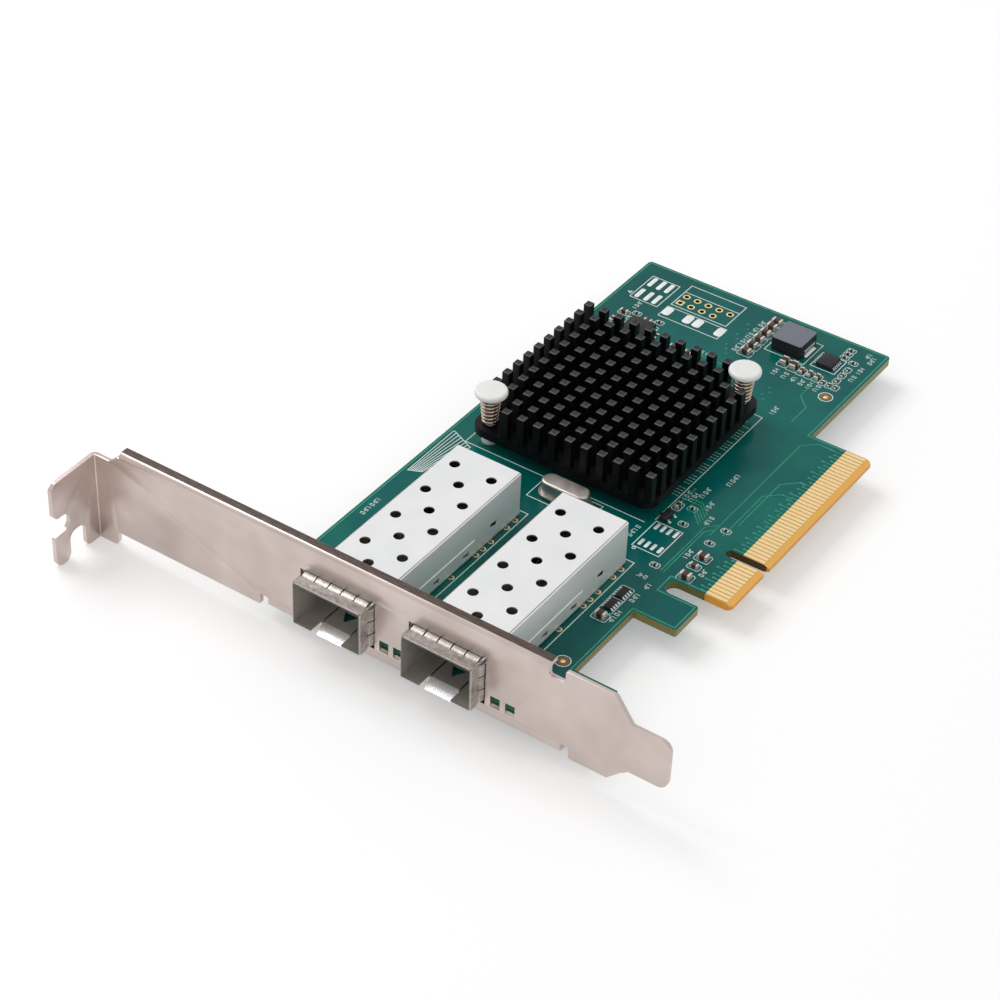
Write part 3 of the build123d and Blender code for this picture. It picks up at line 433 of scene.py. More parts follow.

# %% [markdown]
# ## Heatsink
# The cooler is anodised matt black. Near the top, the fins' level tops are painted grey, as
# painted sheen, and their upper sides a lighter grey, as painted highlights on the edges.

# %% Heatsink finish
CROWN_FROM = 10.2
anodised = Finish("heatsink_black", Specular_IOR_Level=0.2)
card_z = anodised.card_place()[2]
level = anodised.upness()
crown = card_z > CROWN_FROM
tooth = anodised.noise(0.12, 2.0)
drift = anodised.spread(anodised.noise(3.0), 0.0, 1.0)
black = anodised.mix(drift, paint(10, 10, 12), paint(6, 6, 8))
# Level tops get painted grey sheen, and the upper sides a lighter painted highlight; the rest stays
# black.
grey = anodised.mix(anodised.spread(tooth, 0.0, 1.0), paint(52, 52, 55), paint(38, 38, 42))
bright = anodised.mix(level > 0.97, paint(100, 100, 104), grey)
anodised.feed("Base Color", anodised.mix(crown, black, bright))
anodised.feed("Roughness", anodised.spread(anodised.noise(1.0), 0.36, 0.5))
anodised.feed("Normal", anodised.relief(tooth, 0.004))
cover(anodised, "heatsink")

# %% [markdown]
# ## Plated holes
# A plated hole shows a pale gold ring on the board; the barrel inside is painted dark brown and
# not metallic, as painted shade in the hole.

# %% Ring finish
BARREL_FROM = -1.55
BARREL_TO = -0.02
ring_gold = Finish("ring_gold")
barrel = within(ring_gold.card_place()[2], BARREL_FROM, BARREL_TO)
drift = ring_gold.spread(ring_gold.noise(0.8), 0.0, 1.0)
pale = ring_gold.mix(drift, paint(255, 236, 184), paint(250, 218, 152))
# The barrel is painted dark brown: painted shade inside the hole.
ring_gold.feed("Base Color", ring_gold.mix(barrel, pale, paint(58, 36, 20)))
ring_gold.feed("Metallic", (1.0 - barrel) * 0.65)
ring_gold.feed("Roughness", ring_gold.spread(ring_gold.noise(0.5), 0.24, 0.36))
ring_gold.feed("Normal", ring_gold.relief(ring_gold.noise(0.3), 0.003))
print("nodes in the rings' finish:", len(ring_gold.tree.nodes))

# %% [markdown]
# ## Other metals
# A bare metal shows what stands round it, so its colour is mostly its surroundings; what makes
# wire, solder and drawn cans differ is how sharp that picture is.

# %% Metal finishes
collar_steel = plain_finish(
    "spring_steel", (214, 210, 205), (164, 160, 155),
    patch=0.9, gloss=(0.24, 0.4), metallic=1.0, grain=0.2,
)
wire_steel = plain_finish(
    "wire_steel", (212, 194, 178), (164, 144, 128),
    patch=0.8, gloss=(0.18, 0.3), metallic=1.0, grain=0.1,
)
screw_steel = plain_finish(
    "screw_steel", (206, 204, 200), (176, 174, 170),
    patch=1.5, gloss=(0.25, 0.4), metallic=1.0, grain=0.2,
)
can_steel = plain_finish(
    "crystal_metal", (214, 206, 201), (190, 180, 175),
    patch=3.0, gloss=(0.34, 0.46), metallic=1.0, grain=0.15,
)
contact_gold = plain_finish(
    "contact_gold", (255, 232, 178), (255, 224, 162),
    patch=4.0, gloss=(0.24, 0.36), metallic=0.7, grain=0.4, depth=0.001,
)
tin = plain_finish(
    "solder_tin", (236, 238, 238), (206, 210, 212),
    patch=0.6, gloss=(0.2, 0.36), metallic=1.0, grain=0.2, depth=0.004,
)
pad_tin = plain_finish(
    "pad_tin", (250, 251, 250), (236, 238, 238),
    patch=1.5, gloss=(0.42, 0.55), metallic=0.5, depth=0.002,
)
cap_tin = plain_finish(
    "cap_tin", (238, 232, 222), (214, 207, 196),
    patch=0.8, gloss=(0.36, 0.5), metallic=0.6, grain=0.15, depth=0.004,
)
cover(screw_steel, "bracket_screws")
cover(contact_gold, "edge_contacts_top", "edge_contacts_bottom")
cover(contact_gold, "left_socket_contacts", "right_socket_contacts")

# %% [markdown]
# ## Plastics and ceramics
# Moulded chip bodies are a little warmer than the cooler and have a fine tooth. The push pins
# are milky nylon, which lets some light in. Fired capacitor bodies differ a little in brown from
# one to the next, so their tone drifts over a few millimetres.

# %% Plastic and ceramic finishes
moulded = plain_finish(
    "chip_black", (44, 42, 46), (32, 30, 34),
    patch=1.4, gloss=(0.42, 0.6), grain=0.08, depth=0.004,
    Specular_IOR_Level=0.3,
)
socket_black = plain_finish(
    "socket_plastic", (34, 34, 36), (24, 24, 26),
    patch=2.0, gloss=(0.4, 0.55), grain=0.2,
)
nylon = plain_finish(
    "pin_white", (246, 246, 244), (238, 238, 235),
    patch=2.0, gloss=(0.34, 0.46),
    Subsurface_Weight=0.3, Subsurface_Radius=(1.0, 0.9, 0.8), Subsurface_Scale=0.001,
)
rubber = plain_finish(
    "insulator_dark", (44, 42, 40), (30, 29, 28),
    patch=1.0, gloss=(0.5, 0.7),
)
thermal = plain_finish(
    "thermal_grey", (168, 170, 172), (148, 150, 152),
    patch=2.0, gloss=(0.6, 0.8),
)
ceramic = plain_finish(
    "capacitor_brown", (104, 72, 60), (58, 38, 32),
    patch=3.0, gloss=(0.34, 0.48), grain=0.1,
    Specular_IOR_Level=0.3,
)
glaze = plain_finish(
    "resistor_black", (36, 35, 38), (22, 21, 24),
    patch=0.8, gloss=(0.34, 0.48), grain=0.1,
    Specular_IOR_Level=0.3,
)
cover(moulded, "controller_chip")
cover(socket_black, "left_module_socket", "right_module_socket")
cover(rubber, "crystal_insulator")
cover(thermal, "thermal_pad")

# %% [markdown]
# ## Lamps and the inductor's core
# A lamp is a clear lens over green and amber dies, so its colour changes from one half to the
# other. The inductor's core is pressed from iron powder: it is a cool grey on top, with a coarse
# tooth, and darker on the sides.

# %% Lamp and core finishes
lamp = Finish("lamp_clear")
which = lamp.spread(lamp.noise(2.5), 0.0, 1.0, 0.45, 0.55)
lamp.feed("Base Color", lamp.mix(which, paint(150, 214, 110), paint(250, 214, 96)))
lamp.feed("Roughness", lamp.spread(lamp.noise(0.6), 0.15, 0.25))
cover(lamp, "indicator_lamps")
iron = Finish("inductor_grey", Metallic=0.1, Specular_IOR_Level=0.3)
pressed = iron.noise(0.09, 3.0)
top_grey = iron.mix(iron.spread(pressed, 0.0, 1.0), paint(134, 137, 150), paint(104, 106, 117))
is_top = iron.upness() > 0.7
iron.feed("Base Color", iron.mix(is_top, paint(38, 37, 40), top_grey))
iron.feed("Roughness", iron.spread(iron.noise(1.0), 0.45, 0.6))
iron.feed("Normal", iron.relief(pressed, 0.01))
print("finishes:", len(bpy.data.materials))

# %% [markdown]
# ## Broken edges
# No stamped, moulded or soldered edge is perfectly sharp, and light gathers on it. The solids
# have sharp edges, so each of these parts is copied, its split corners are joined, its edges are
# rounded by a few hundredths of a millimetre, and the copy takes the solid's place.

# %% A copy with broken edges
SAME_POINT = 1e-6
FLAT_WITHIN = math.radians(0.5)
SHARP_OVER = math.radians(38)


def softened(name, finish, width=0.0):
    """A copy of a solid that takes its place, with edges rounded over width millimetres."""
    build = bmesh.new()
    build.from_mesh(solids[name].data)
    bmesh.ops.remove_doubles(build, verts=build.verts, dist=SAME_POINT)
    bmesh.ops.dissolve_limit(build, angle_limit=FLAT_WITHIN, verts=build.verts, edges=build.edges)
    mesh = bpy.data.meshes.new(f"{name}_copy")
    build.to_mesh(mesh)
    build.free()
    copy = bpy.data.objects.new(f"{name}_dressed", mesh)
    bpy.context.scene.collection.objects.link(copy)
    if width:
        bevel = copy.modifiers.new("broken_edge", "BEVEL")
        bevel.width = width * MM
        bevel.segments = 2
        bevel.limit_method = "ANGLE"
        bevel.angle_limit = SHARP_OVER
        bevel.use_clamp_overlap = True
    finished = copy.evaluated_get(bpy.context.evaluated_depsgraph_get())
    copy.data = bpy.data.meshes.new_from_object(finished)
    copy.modifiers.clear()
    copy.data.shade_smooth()
    copy.data.set_sharp_from_angle(angle=SHARP_OVER)
    copy.data.materials.clear()
    copy.data.materials.append(finish.material)
    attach(copy, "root")
    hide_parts(name)
    return len(copy.data.polygons)


print("edges count as sharp over", round(math.degrees(SHARP_OVER)), "degrees")

# %% [markdown]
# ## Which parts get broken edges
# Bent sheet and moulded bodies have the widest rounding, about a tenth of a millimetre, and small
# end caps and pads have less. Round parts such as springs and pins need none, but they are copied
# too, because a joined copy can be shaded smooth.

# %% Copies of the parts
faces = softened("bracket", satin, width=0.14)
faces += softened("crystal_can", can_steel)
faces += softened("power_inductor", iron, width=0.06)
for side_name in ("left", "right"):
    faces += softened(f"{side_name}_spring_collar", collar_steel)
    faces += softened(f"{side_name}_push_pin", nylon)
    faces += softened(f"{side_name}_push_pin_spring", wire_steel)
for name in ("flash_chip", "buck_regulator", "linear_regulator"):
    faces += softened(name, moulded, width=0.12)
for name in ("medium_capacitors", "small_capacitors"):
    faces += softened(name, ceramic, width=0.05)
faces += softened("resistor_arrays", glaze, width=0.06)
faces += softened("chip_resistors", glaze, width=0.03)
for name, width, finish in (
    ("chip_end_caps", 0.06, cap_tin),
    ("chip_legs", 0.04, tin),
    ("inductor_clips", 0.06, tin),
    ("crystal_leads", 0.0, tin),
    ("solder_pads", 0.02, pad_tin),
):
    faces += softened(name, finish, width=width)
for name in ("header_rings", "cage_pin_rings"):
    faces += softened(name, ring_gold)
print("faces in the softened copies:", faces)

# %% [markdown]
# ## Lines on the board
# The white print and the copper tracks are thin lines of even width. Each is drawn as the path
# of its centre, and a Geometry Nodes tree runs a flat bar along every path. A straight run is
# kept as its own piece that reaches half a width past its ends, so that corners stay square.

# %% A tree that lays flat lines
def add_sockets(tree, *inputs):
    """Names the inputs of a Geometry Nodes tree, and gives it its output."""
    for name, kind in inputs:
        tree.interface.new_socket(name, in_out="INPUT", socket_type=kind)
    tree.interface.new_socket("Geometry", in_out="OUTPUT", socket_type="NodeSocketGeometry")


line_tree = bpy.data.node_groups.new("flat_line", "GeometryNodeTree")
add_sockets(
    line_tree,
    ("Geometry", "NodeSocketGeometry"),
    ("Width", "NodeSocketFloat"),
    ("Height", "NodeSocketFloat"),
    ("Finish", "NodeSocketMaterial"),
)
line = Graph(line_tree)
given = line.node("NodeGroupInput", output="Geometry")
line_width, line_height, line_finish = line.outputs(given, "Width", "Height", "Finish")
paths = line.node("GeometryNodeMeshToCurve", None, {"Mesh": given})
level_paths = line.node("GeometryNodeSetCurveNormal", {"mode": "Z_UP"}, {"Curve": paths})
bar = line.node(
    "GeometryNodeCurvePrimitiveQuadrilateral",
    {"mode": "RECTANGLE"},
    {"Width": line_width, "Height": line_height},
)
laid = line.node(
    "GeometryNodeCurveToMesh", None, {"Curve": level_paths, "Profile Curve": bar, "Fill Caps": True}
)
laid = line.node("GeometryNodeRealizeInstances", None, {"Geometry": laid})
laid = line.node("GeometryNodeSetMaterial", None, {"Geometry": laid, "Material": line_finish})
line.close("NodeGroupOutput", "Geometry", laid)
print("nodes in the line tree:", len(line_tree.nodes))

# %% [markdown]
# ## Running the tree on paths
# The tree runs on a mesh that holds only points and the edges between them. Its result is kept as
# a plain mesh. Where two straight runs meet they overlap, so each lies a hair higher than the one
# before, and no two faces share a plane.

# %% Laying lines
RUN_STEP = 0.0006
RUN_STEPS = 9


def grow(name, mesh, tree, slot=None, **inputs):
    """Runs a tree on a mesh and keeps the result as a plain mesh that rides on the card."""
    piece = bpy.data.objects.new(name, mesh)
    bpy.context.scene.collection.objects.link(piece)
    modifier = piece.modifiers.new("grow", "NODES")
    modifier.node_group = tree
    for socket in tree.interface.items_tree:
        if socket.in_out == "INPUT" and socket.name in inputs:
            modifier[socket.identifier] = inputs[socket.name]
    grown = piece.evaluated_get(bpy.context.evaluated_depsgraph_get())
    piece.data = bpy.data.meshes.new_from_object(grown)
    piece.modifiers.clear()
    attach(piece, "root")
    print(name, "faces:", len(piece.data.polygons))


def lay_lines(name, straight, loops, width, thickness, finish, slot=None):
    """Lines on the board: straight ones from corner lists, and smooth loops as they are."""
    points, edges = [], []
    step = 0
    for run in straight:
        for a, b in zip(run, run[1:]):
            start, stop = Vector((*a, 0.0)), Vector((*b, 0.0))
            reach = (stop - start).normalized() * width / 2
            rise = thickness / 2 + (step % RUN_STEPS) * RUN_STEP
            step += 1
            points += [on_card(*(start - reach)[:2], rise), on_card(*(stop + reach)[:2], rise)]
            edges.append((len(points) - 2, len(points) - 1))
    for loop in loops:
        first = len(points)
        points += [on_card(x, y, thickness / 2) for x, y in loop]
        edges += [(first + i, first + (i + 1) % len(loop)) for i in range(len(loop))]
    mesh = bpy.data.meshes.new(name)
    mesh.from_pydata(points, edges, [])
    sizes = {"Width": width * MM, "Height": thickness * MM}
    grow(name, mesh, line_tree, slot, Finish=finish.material, **sizes)


def ring(x, y, radius, count=28):
    """Points round a circle."""
    angles = [math.tau * i / count for i in range(count)]
    return [(x + radius * math.cos(angle), y + radius * math.sin(angle)) for angle in angles]


def frame_line(x_from, x_to, y_from, y_to):
    """The four corners of a rectangle and back."""
    return [(x_from, y_from), (x_to, y_from), (x_to, y_to), (x_from, y_to), (x_from, y_from)]


print("corners of a frame:", frame_line(0, 2, 0, 1))

# %% [markdown]
# ## Where the small parts are
# Several kinds of detail follow the small parts: solder climbs up every end cap, and white print
# runs round each body. Their places aren't typed in again but read from the solids, one box for
# each separate body in a node.

# %% Boxes of the separate bodies
def bodies_in(name):
    """The box, on the card and in millimetres, of each separate body of a node."""
    build = bmesh.new()
    build.from_mesh(solids[name].data)
    bmesh.ops.remove_doubles(build, verts=build.verts, dist=SAME_POINT)
    boxes, met = [], set()
    for first in build.verts:
        if first in met:
            continue
        met.add(first)
        waiting, points = [first], []
        while waiting:
            vert = waiting.pop()
            points.append((vert.co - corner) / MM)
            for edge in vert.link_edges:
                other = edge.other_vert(vert)
                if other not in met:
                    met.add(other)
                    waiting.append(other)
        low, high = [[pick(p[i] for p in points) for i in range(3)] for pick in (min, max)]
        boxes.append((Vector(low), Vector(high)))
    build.free()
    return boxes


CHIP_MARGINS = {"medium_capacitors": 0.5, "small_capacitors": 0.45, "chip_resistors": 0.42}
end_caps = bodies_in("chip_end_caps")
chips = {name: bodies_in(name) for name in CHIP_MARGINS}
print("end caps:", len(end_caps), "bodies:", {name: len(boxes) for name, boxes in chips.items()})

# %% [markdown]
# ## White print
# The print is a thin white ink, 0.2 mm wide, which shows where each part belongs. Its outlines are
# straight runs between a few corners. Beside the left cage it makes a fan, whose lines are worked
# out from the first and the last one.

# %% Outlines
PRINT_WIDTH = 0.2
FINE_PRINT_WIDTH = 0.13
PRINT_THICKNESS = 0.02
ink = plain_finish(
    "print_white", (236, 246, 241), (216, 232, 225),
    patch=1.0, gloss=(0.5, 0.65), grain=0.2,
)
outlines = [
    [(58.5, 10.3), (96.8, 10.3), (96.8, 13.0)],
    [(56.7, 11.6), (56.7, 51.1), (60.5, 51.1)],
    [(45.85, 6.85), (45.85, 22.4), (17.0, 22.4)],
    [(45.85, 6.85), (17.0, 6.85)],
    [(45.85, 29.6), (45.85, 46.2)],
    [(45.85, 29.6), (17.0, 29.6)],
    frame_line(50.3, 55.9, 19.9, 33.0),
    frame_line(116.0, 124.9, 46.0, 52.4),
    frame_line(118.55, 126.7, 31.4, 44.2),
    [(124.0, 31.4), (124.0, 44.2)],
    frame_line(113.75, 117.65, 30.6, 44.3),
    frame_line(49.9, 58.2, 4.3, 9.95),
    frame_line(117.4, 122.6, 6.2, 11.5),
    frame_line(116.6, 124.6, 12.6, 21.4),
    [(116.9, 52.9), (117.7, 52.9), (117.3, 53.6), (116.9, 52.9)],
]
FAN_LINES = 8
FAN_FIRST = ((43.2, 54.6), (58.1, 54.7))
FAN_LAST = ((44.3, 52.2), (55.7, 49.3))
for i in range(FAN_LINES):
    t = i / (FAN_LINES - 1)
    ends = zip(FAN_FIRST, FAN_LAST)
    outlines.append([tuple(a + (b - a) * t for a, b in zip(*pair)) for pair in ends])
outlines += [[FAN_FIRST[0], FAN_LAST[0]], [FAN_FIRST[1], FAN_LAST[1]]]
print("outlines:", len(outlines))

# %% [markdown]
# ## Print round the small chips
# A small chip has a finer line with cut corners round its body and its two end caps. The caps of
# a body are the two that are nearest to it, so no place has to be typed in.

# %% Lines with cut corners
CORNER_CUT = 0.3
ARRAY_MARGIN = 0.7


def cut_corners(low, high, margin):
    """A rectangle round a body, with its corners cut."""
    x_from, x_to, y_from, y_to = low.x - margin, high.x + margin, low.y - margin, high.y + margin
    cut = CORNER_CUT
    return [
        (x_from + cut, y_from), (x_to - cut, y_from), (x_to, y_from + cut), (x_to, y_to - cut),
        (x_to - cut, y_to), (x_from + cut, y_to), (x_from, y_to - cut), (x_from, y_from + cut),
        (x_from + cut, y_from),
    ]


def round_body(body, margin):
    """The cut-cornered line round a body and its two nearest end caps."""
    middle = (body[0] + body[1]) / 2
    nearest = sorted(end_caps, key=lambda box: ((box[0] + box[1]) / 2 - middle).length)[:2]
    low = Vector([min(box[0][i] for box in (body, *nearest)) for i in range(3)])
    high = Vector([max(box[1][i] for box in (body, *nearest)) for i in range(3)])
    return cut_corners(low, high, margin)


fine = []
for name, margin in CHIP_MARGINS.items():
    fine += [round_body(body, margin) for body in chips[name]]
for array in bodies_in("resistor_arrays"):
    fine.append(cut_corners(*array, ARRAY_MARGIN))
print("lines round chips:", len(fine))

# %% [markdown]
# ## Marks and ticks
# Short rows of plain strokes stand beside the parts, along the card or across it. Each row is a
# place, a count and a direction, and its strokes come in turn from four simple shapes.

# %% Marks
mark_rows = [
    (99.5, 16.5, 5, False), (100.0, 24.0, 4, False), (103.0, 39.5, 4, True), (108.6, 27.5, 5, True),
    (113.0, 49.0, 4, False), (47.3, 24.0, 4, True), (47.6, 33.0, 5, True), (51.8, 11.3, 5, False),
    (66.5, 4.0, 4, False), (69.0, 6.6, 5, False), (30.0, 1.4, 5, False),
    (36.8, 1.3, 4, False), (99.0, 9.2, 4, False), (75.0, 4.4, 6, False), (47.5, 40.4, 4, True),
    (28.0, 53.3, 8, False), (66.0, 53.2, 7, False), (84.0, 53.4, 6, False), (126.0, 3.2, 3, False),
    (124.6, 1.9, 4, False), (120.6, 2.2, 3, False), (117.4, 2.2, 3, False), (41.0, 1.1, 3, False),
    (44.2, 3.0, 3, True), (66.8, 8.9, 4, False), (66.8, 7.7, 4, False), (62.6, 1.9, 4, False),
    (49.9, -4.9, 3, False), (52.6, 0.0, 4, False), (104.2, 47.0, 3, False), (108.2, 47.6, 3, True),
]
MARKS = (
    [[(0.0, 0.0), (0.0, 1.0)]],
    [[(0.0, 0.0), (0.0, 1.0), (1.0, 1.0)]],
    [[(1.0, 0.0), (1.0, 1.0)], [(0.0, 0.5), (1.0, 0.5)]],
    [[(0.0, 0.0), (0.0, 1.0), (1.0, 1.0), (1.0, 0.0), (0.0, 0.0)]],
)
MARK_WIDTH = 0.42
MARK_HEIGHT = 0.85
MARK_PITCH = 0.72
mark_rows += [(x, 25.6, 3, False) for x in (112.6, 115.2, 117.8, 120.35, 122.9)]
mark_rows += [(110.4, y, 3, False) for y in (15.5, 13.3, 11.3, 9.5, 7.8, 6.2)]
strokes = []
for row, (x, y, count, turned) in enumerate(mark_rows):
    for k in range(count):
        for stroke in MARKS[(row + k * 3) % len(MARKS)]:
            if turned:
                spots = [(x - v * MARK_HEIGHT, y + k * MARK_PITCH + u * MARK_WIDTH) for u, v in stroke]
            else:
                spots = [(x + k * MARK_PITCH + u * MARK_WIDTH, y + v * MARK_HEIGHT) for u, v in stroke]
            strokes.append(spots)
print("rows of marks:", len(mark_rows), "strokes:", len(strokes))

# %% [markdown]
# ## Ticks and circles
# Two rows of ticks run along the cooler, with a gap after every fourth, and a circle goes round
# each fiducial. A circle is a closed loop of short runs, and the tree follows it without a break.

# %% Ticks, circles and laying the print
TICK_ROW_FROM = 66.0
TICK_ROWS = (10.75, 11.5)
TICK_PITCH = 0.85
TICK_LENGTH = 0.45
TICK_PLACES = 32
TICK_GROUP = 5
ticks = [TICK_ROW_FROM + k * TICK_PITCH for k in range(TICK_PLACES) if k % TICK_GROUP]
strokes += [[(x, y), (x, y + TICK_LENGTH)] for x in ticks for y in TICK_ROWS]
FIDUCIAL_CIRCLE = 1.4
FIRST_LEG_MARK = (49.4, 9.2, 0.3)
fiducials = [(109.94, 3.89), (16.8, 2.75)]
circles = [ring(x, y, FIDUCIAL_CIRCLE) for x, y in fiducials] + [ring(*FIRST_LEG_MARK)]
lay_lines("print_lines", outlines, circles, PRINT_WIDTH, PRINT_THICKNESS, ink)
lay_lines("print_strokes", strokes + fine, [], FINE_PRINT_WIDTH, PRINT_THICKNESS, ink)

# %% [markdown]
# ## Copper under the mask
# Tracks and a line round the board's edge stand up a few hundredths of a millimetre, and the mask
# over the tracks is thinner and brighter. The line round the edge, in the same lighter green, is a
# painted highlight for the light that the edge catches. It comes first, in two runs that stop
# where the tongue begins.

# %% Painted edge highlight
TRACK_THICKNESS = 0.03
EDGE_HIGHLIGHT_WIDTH = 0.34
EDGE_INSET = 0.5
track_green = plain_finish(
    "covered_copper", (66, 164, 138), (44, 140, 116),
    patch=2.0, gloss=(0.2, 0.3),
    Specular_IOR_Level=0.2,
)
# A painted highlight in lighter green, just inside the board's edge.
painted_edge_highlight_paths = [
    [(1.9, 55.35), (128.8, 55.35), (128.8, EDGE_INSET), (97.05, EDGE_INSET), (97.05, -7.2)],
    [
        (46.75, -7.2), (46.75, -0.3), (42.1, -0.3), (42.1, -8.1), (35.4, -8.1), (35.4, EDGE_INSET),
        (15.6, EDGE_INSET), (15.6, -8.5), (1.9, -8.5), (1.9, 55.35),
    ],
]
lay_lines("painted_edge_highlight", painted_edge_highlight_paths, [], EDGE_HIGHLIGHT_WIDTH, TRACK_THICKNESS, track_green, "board")

# %% [markdown]
# ## Tracks
# A track is a chain of straight runs that turn by half a right angle. Two bundles run side by
# side, so they are worked out from a pitch, and every contact has a short stub that leads to it.
# Each track and stub ends in a via, whose place is kept for the next step.

# %% Copper tracks
TRACK_WIDTH = 0.26
BUNDLE = 5
tracks = [
    [(60.6, 0.1), (93.6, 0.1), (96.0, -2.4), (96.0, -5.1)],
    [(61.8, -1.9), (76.0, -1.9), (78.6, -4.5), (78.6, -6.4)],
    [(66.0, -2.7), (81.0, -2.7), (83.6, -5.3), (83.6, -6.4)],
    [(47.0, 2.0), (62.0, 2.0), (63.6, 0.6)],
    [(47.0, 1.4), (60.8, 1.4), (62.0, 0.4)],
    [(96.9, 18.5), (104.0, 18.5), (107.0, 21.5), (107.0, 30.0)],
    [(98.2, 38.6), (103.5, 38.6), (105.4, 40.4)],
    [(98.0, 41.6), (101.0, 44.6), (101.0, 51.0), (104.6, 51.0)],
    [(98.4, 30.0), (103.2, 30.0), (104.6, 31.4), (104.6, 33.0)],
    [(99.0, 5.2), (104.6, 5.2), (107.4, 8.0), (112.4, 8.0)],
    [(66.0, 9.2), (70.4, 9.2)],
    [(47.4, 13.0), (47.4, 20.6), (49.2, 22.4)],
    [(48.3, 12.4), (48.3, 18.4), (49.4, 19.4)],
]
for k in range(BUNDLE):
    a, b = k * 0.8, k * 0.7
    tracks.append([(62.0 + a, 3.4), (64.4 + a, 5.8), (64.4 + a, 7.2)])
    tracks.append([(99.0 + b, 46.0), (99.0 + b, 52.2 - b), (104.2, 52.2 - b)])
via_points = [run[-1] for run in tracks]
STUB_TOP = -6.9
STUB_STEPS = (0.0, 0.9, 0.4, 1.3)
CONTACT_XS = [56.9 - k for k in range(11)] + [59.9 + k for k in range(38)]
for k, x in enumerate(CONTACT_XS):
    top = STUB_TOP + STUB_STEPS[k % len(STUB_STEPS)]
    tracks.append([(x, MASK_EDGE + EDGE_AIR), (x, top)])
    via_points.append((x, top))
lay_lines("copper_tracks", tracks, [], TRACK_WIDTH, TRACK_THICKNESS, track_green, "board")

# %% [markdown]
# ## Vias and fiducials
# A via is a hole that carries a track to the other side. The mask runs over its rim, so it shows
# as a small raised ring. A fiducial is a bare gold dot in a clearing, which the placing machine
# looks for. Both repeat, so one Geometry Nodes tree puts a ring or a dot at each point.

# %% A tree that puts rings on points
RING_SIDES = 20
ring_tree = bpy.data.node_groups.new("rings_on_points", "GeometryNodeTree")
add_sockets(
    ring_tree,
    ("Geometry", "NodeSocketGeometry"),
    ("Radius", "NodeSocketFloat"),
    ("Rim", "NodeSocketFloat"),
    ("Height", "NodeSocketFloat"),
    ("Finish", "NodeSocketMaterial"),
)
rings = Graph(ring_tree)
given = rings.node("NodeGroupInput", output="Geometry")
radius, rim, rise, ring_finish = rings.outputs(given, "Radius", "Rim", "Height", "Finish")
circle = rings.node(
    "GeometryNodeCurvePrimitiveCircle", {"mode": "RADIUS"}, {"Resolution": RING_SIDES, "Radius": radius}
)
bar = rings.node(
    "GeometryNodeCurvePrimitiveQuadrilateral", {"mode": "RECTANGLE"}, {"Width": rim, "Height": rise}
)
band = rings.node("GeometryNodeCurveToMesh", None, {"Curve": circle, "Profile Curve": bar})
placed = rings.node("GeometryNodeInstanceOnPoints", None, {"Points": given, "Instance": band})
placed = rings.node("GeometryNodeRealizeInstances", None, {"Geometry": placed})
placed = rings.node("GeometryNodeSetMaterial", None, {"Geometry": placed, "Material": ring_finish})
rings.close("NodeGroupOutput", "Geometry", placed)
print("nodes in the ring tree:", len(ring_tree.nodes))

# %% [markdown]
# ## Rings in their places
# The vias at the ends of the tracks were kept above, and a few rows more stand in the open. A
# fiducial is two rings: a wide brown one where the mask is open, and a gold one whose rim is so
# wide that it closes to a dot.


# %% Rings and dots
def put_rings(name, places, finish, slot, radius, rim, rise):
    """A flat ring at each place on the board."""
    mesh = bpy.data.meshes.new(name)
    mesh.from_pydata([on_card(x, y, rise / 2) for x, y in places], [], [])
    sizes = {"Radius": radius * MM, "Rim": rim * MM, "Height": rise * MM}
    grow(name, mesh, ring_tree, slot, Finish=finish.material, **sizes)


VIA_ROWS = ((13.2, 6), (17.0, 5), (28.0, 5), (33.5, 7))
VIA_PITCH = 1.35
for row, count in VIA_ROWS:
    via_points += [(99.3 + k * VIA_PITCH, row + (k % 2) * 0.9) for k in range(count)]
FAR_VIAS = 9
FAR_VIA_PITCH = 1.4
via_points += [(110.6 + k * FAR_VIA_PITCH, 26.6 + (k % 3) * 0.8) for k in range(FAR_VIAS)]
clearing = plain_finish(
    "bare_laminate", (150, 112, 62), (118, 86, 46),
    patch=0.5, gloss=(0.5, 0.6),
)
put_rings("vias", via_points, track_green, "board", radius=0.2, rim=0.16, rise=0.035)
put_rings("fiducial_clearings", fiducials, clearing, "board", radius=0.85, rim=0.6, rise=0.012)
put_rings("fiducial_dots", fiducials, ring_gold, "contact_gold", radius=0.25, rim=0.5, rise=0.03)

# %% [markdown]
# ## Solder
# Solder pulls itself up the end of every chip part and spreads over its pad as a small skirt.
# Each skirt is three rings of points: a wide one on the pad, a smaller one, and the last part of
# the way up the cap, with its ends closed.

# %% Solder skirts
SKIRT_REACH = 0.5
SKIRT_RISE = 0.4
SKIRT_AIR = 0.004
SKIRT_CORNER = 0.12
SKIRT_WRAP = 0.015
SKIRT_SIDES = 8
points, quads = [], []
for low, high in end_caps:
    middle = (low + high) / 2
    half = (high - low) / 2
    rise = (high.z - low.z) * SKIRT_RISE
    start = len(points)
    reach = min(half.x, half.y) * SKIRT_REACH
    for grown_by, z in ((reach, SKIRT_AIR), (reach * 0.4, rise * 0.35), (SKIRT_WRAP, rise)):
        wide, deep = half.x + grown_by, half.y + grown_by
        cut = min(SKIRT_CORNER, grown_by)
        for x, y in (
            (wide - cut, -deep), (wide, cut - deep), (wide, deep - cut), (wide - cut, deep),
            (cut - wide, deep), (-wide, deep - cut), (-wide, cut - deep), (cut - wide, -deep),
        ):
            points.append(on_card(middle.x + x, middle.y + y, z))
    for layer in (start, start + SKIRT_SIDES):
        for k in range(SKIRT_SIDES):
            a, b = layer + k, layer + (k + 1) % SKIRT_SIDES
            quads.append((a, b, b + SKIRT_SIDES, a + SKIRT_SIDES))
    quads.append(tuple(reversed(range(start, start + SKIRT_SIDES))))
    quads.append(tuple(range(start + 2 * SKIRT_SIDES, start + 3 * SKIRT_SIDES)))
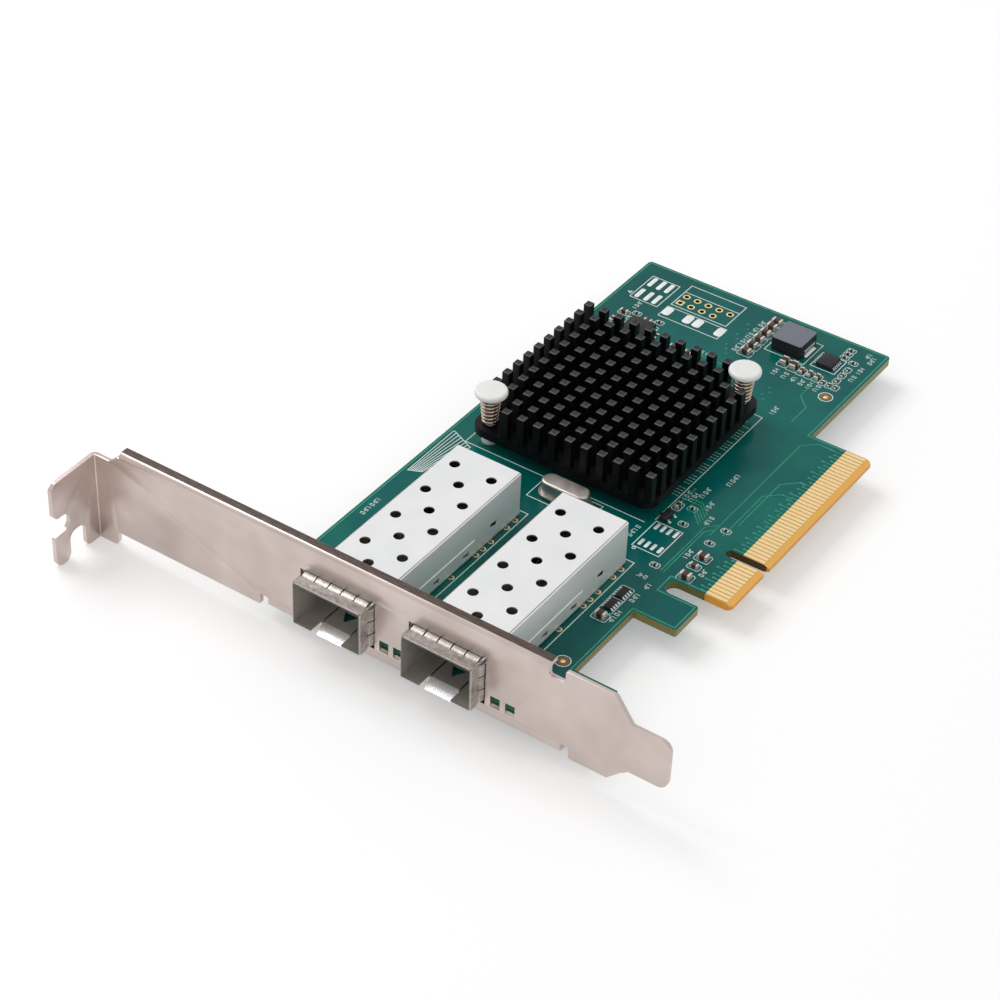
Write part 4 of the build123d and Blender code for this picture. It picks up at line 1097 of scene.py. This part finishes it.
skirt_mesh = bpy.data.meshes.new("solder_skirts")
skirt_mesh.from_pydata(points, [], quads)
skirt_mesh.shade_smooth()
skirt_mesh.set_sharp_from_angle(angle=SHARP_OVER)
skirt_mesh.materials.append(tin.material)
skirts = bpy.data.objects.new("solder_skirts", skirt_mesh)
bpy.context.scene.collection.objects.link(skirts)
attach(skirts, "root")
print("solder skirts:", len(end_caps))

# %% [markdown]
# ## Floor and light
# The card lies on a plain white floor. The floor shows white to the camera and in reflections,
# and keeps the card's soft shadow: a matt part takes the shadow, and a faint glow, which only the
# camera and reflections see, lifts it to white.

# %% Floor
FLOOR_REACH = 3.0
FLOOR_GLOW = 0.32
PAPER = (0.8, 0.8, 0.8, 1.0)
floor_mesh = bpy.data.meshes.new("floor")
ground = solid_box[0].z
floor_corners = [(-1, -1), (1, -1), (1, 1), (-1, 1)]
floor_points = [(FLOOR_REACH * x, FLOOR_REACH * y, ground) for x, y in floor_corners]
floor_mesh.from_pydata(floor_points, [], [(0, 1, 2, 3)])
floor = bpy.data.objects.new("floor", floor_mesh)
bpy.context.scene.collection.objects.link(floor)


def seen_directly(graph):
    """1 for the camera, for reflections and for light through glass, and 0 for lighting."""
    path = graph.node("ShaderNodeLightPath", output="Is Camera Ray")
    glossy, clear = graph.outputs(path, "Is Glossy Ray", "Is Transmission Ray")
    return path.higher(glossy).higher(clear)


paper = bpy.data.materials.new("floor_paper")
paper.use_nodes = True
sheet = Graph(paper.node_tree)
sheet.tree.nodes.clear()
matt = sheet.node("ShaderNodeBsdfDiffuse", None, {"Color": PAPER})
glow = sheet.node("ShaderNodeEmission", None, {"Strength": seen_directly(sheet) * FLOOR_GLOW})
both = sheet.node("ShaderNodeAddShader", None, {0: matt, 1: glow})
sheet.close("ShaderNodeOutputMaterial", "Surface", both)
floor_mesh.materials.append(paper)
print("floor:", 2 * FLOOR_REACH, "m wide")

# %% [markdown]
# ## Sky and lamps
# Most of the light is an even sky. A soft box beyond the card's upper edge throws the shadow
# towards the contacts and leaves the cooler's near side dark. A wider, weaker one in front opens
# the shadows.

# %% Sky and lamps
SKY_LIGHT = 0.7
world = bpy.data.worlds.new("studio")
bpy.context.scene.world = world
world.use_nodes = True
sky = Graph(world.node_tree)
sky.tree.nodes.clear()
brightness = SKY_LIGHT + seen_directly(sky) * (1.0 - SKY_LIGHT)
shine = sky.node("ShaderNodeBackground", None, {"Strength": brightness})
sky.close("ShaderNodeOutputWorld", "Surface", shine)


def soft_box(name, place, width, power):
    """A square lamp that looks at the middle of the card."""
    data = bpy.data.lights.new(name, "AREA")
    data.size = width
    data.energy = power
    lamp_object = bpy.data.objects.new(name, data)
    bpy.context.scene.collection.objects.link(lamp_object)
    middle = (solid_box[0] + solid_box[1]) / 2
    lamp_object.location = middle + Vector(place)
    lamp_object.rotation_euler = (-Vector(place)).to_track_quat("-Z", "Y").to_euler()


soft_box("key_lamp", place=(0.02, 0.52, 0.6), width=0.45, power=2.6)
soft_box("fill_lamp", place=(-0.6, -0.4, 0.35), width=0.7, power=0.7)
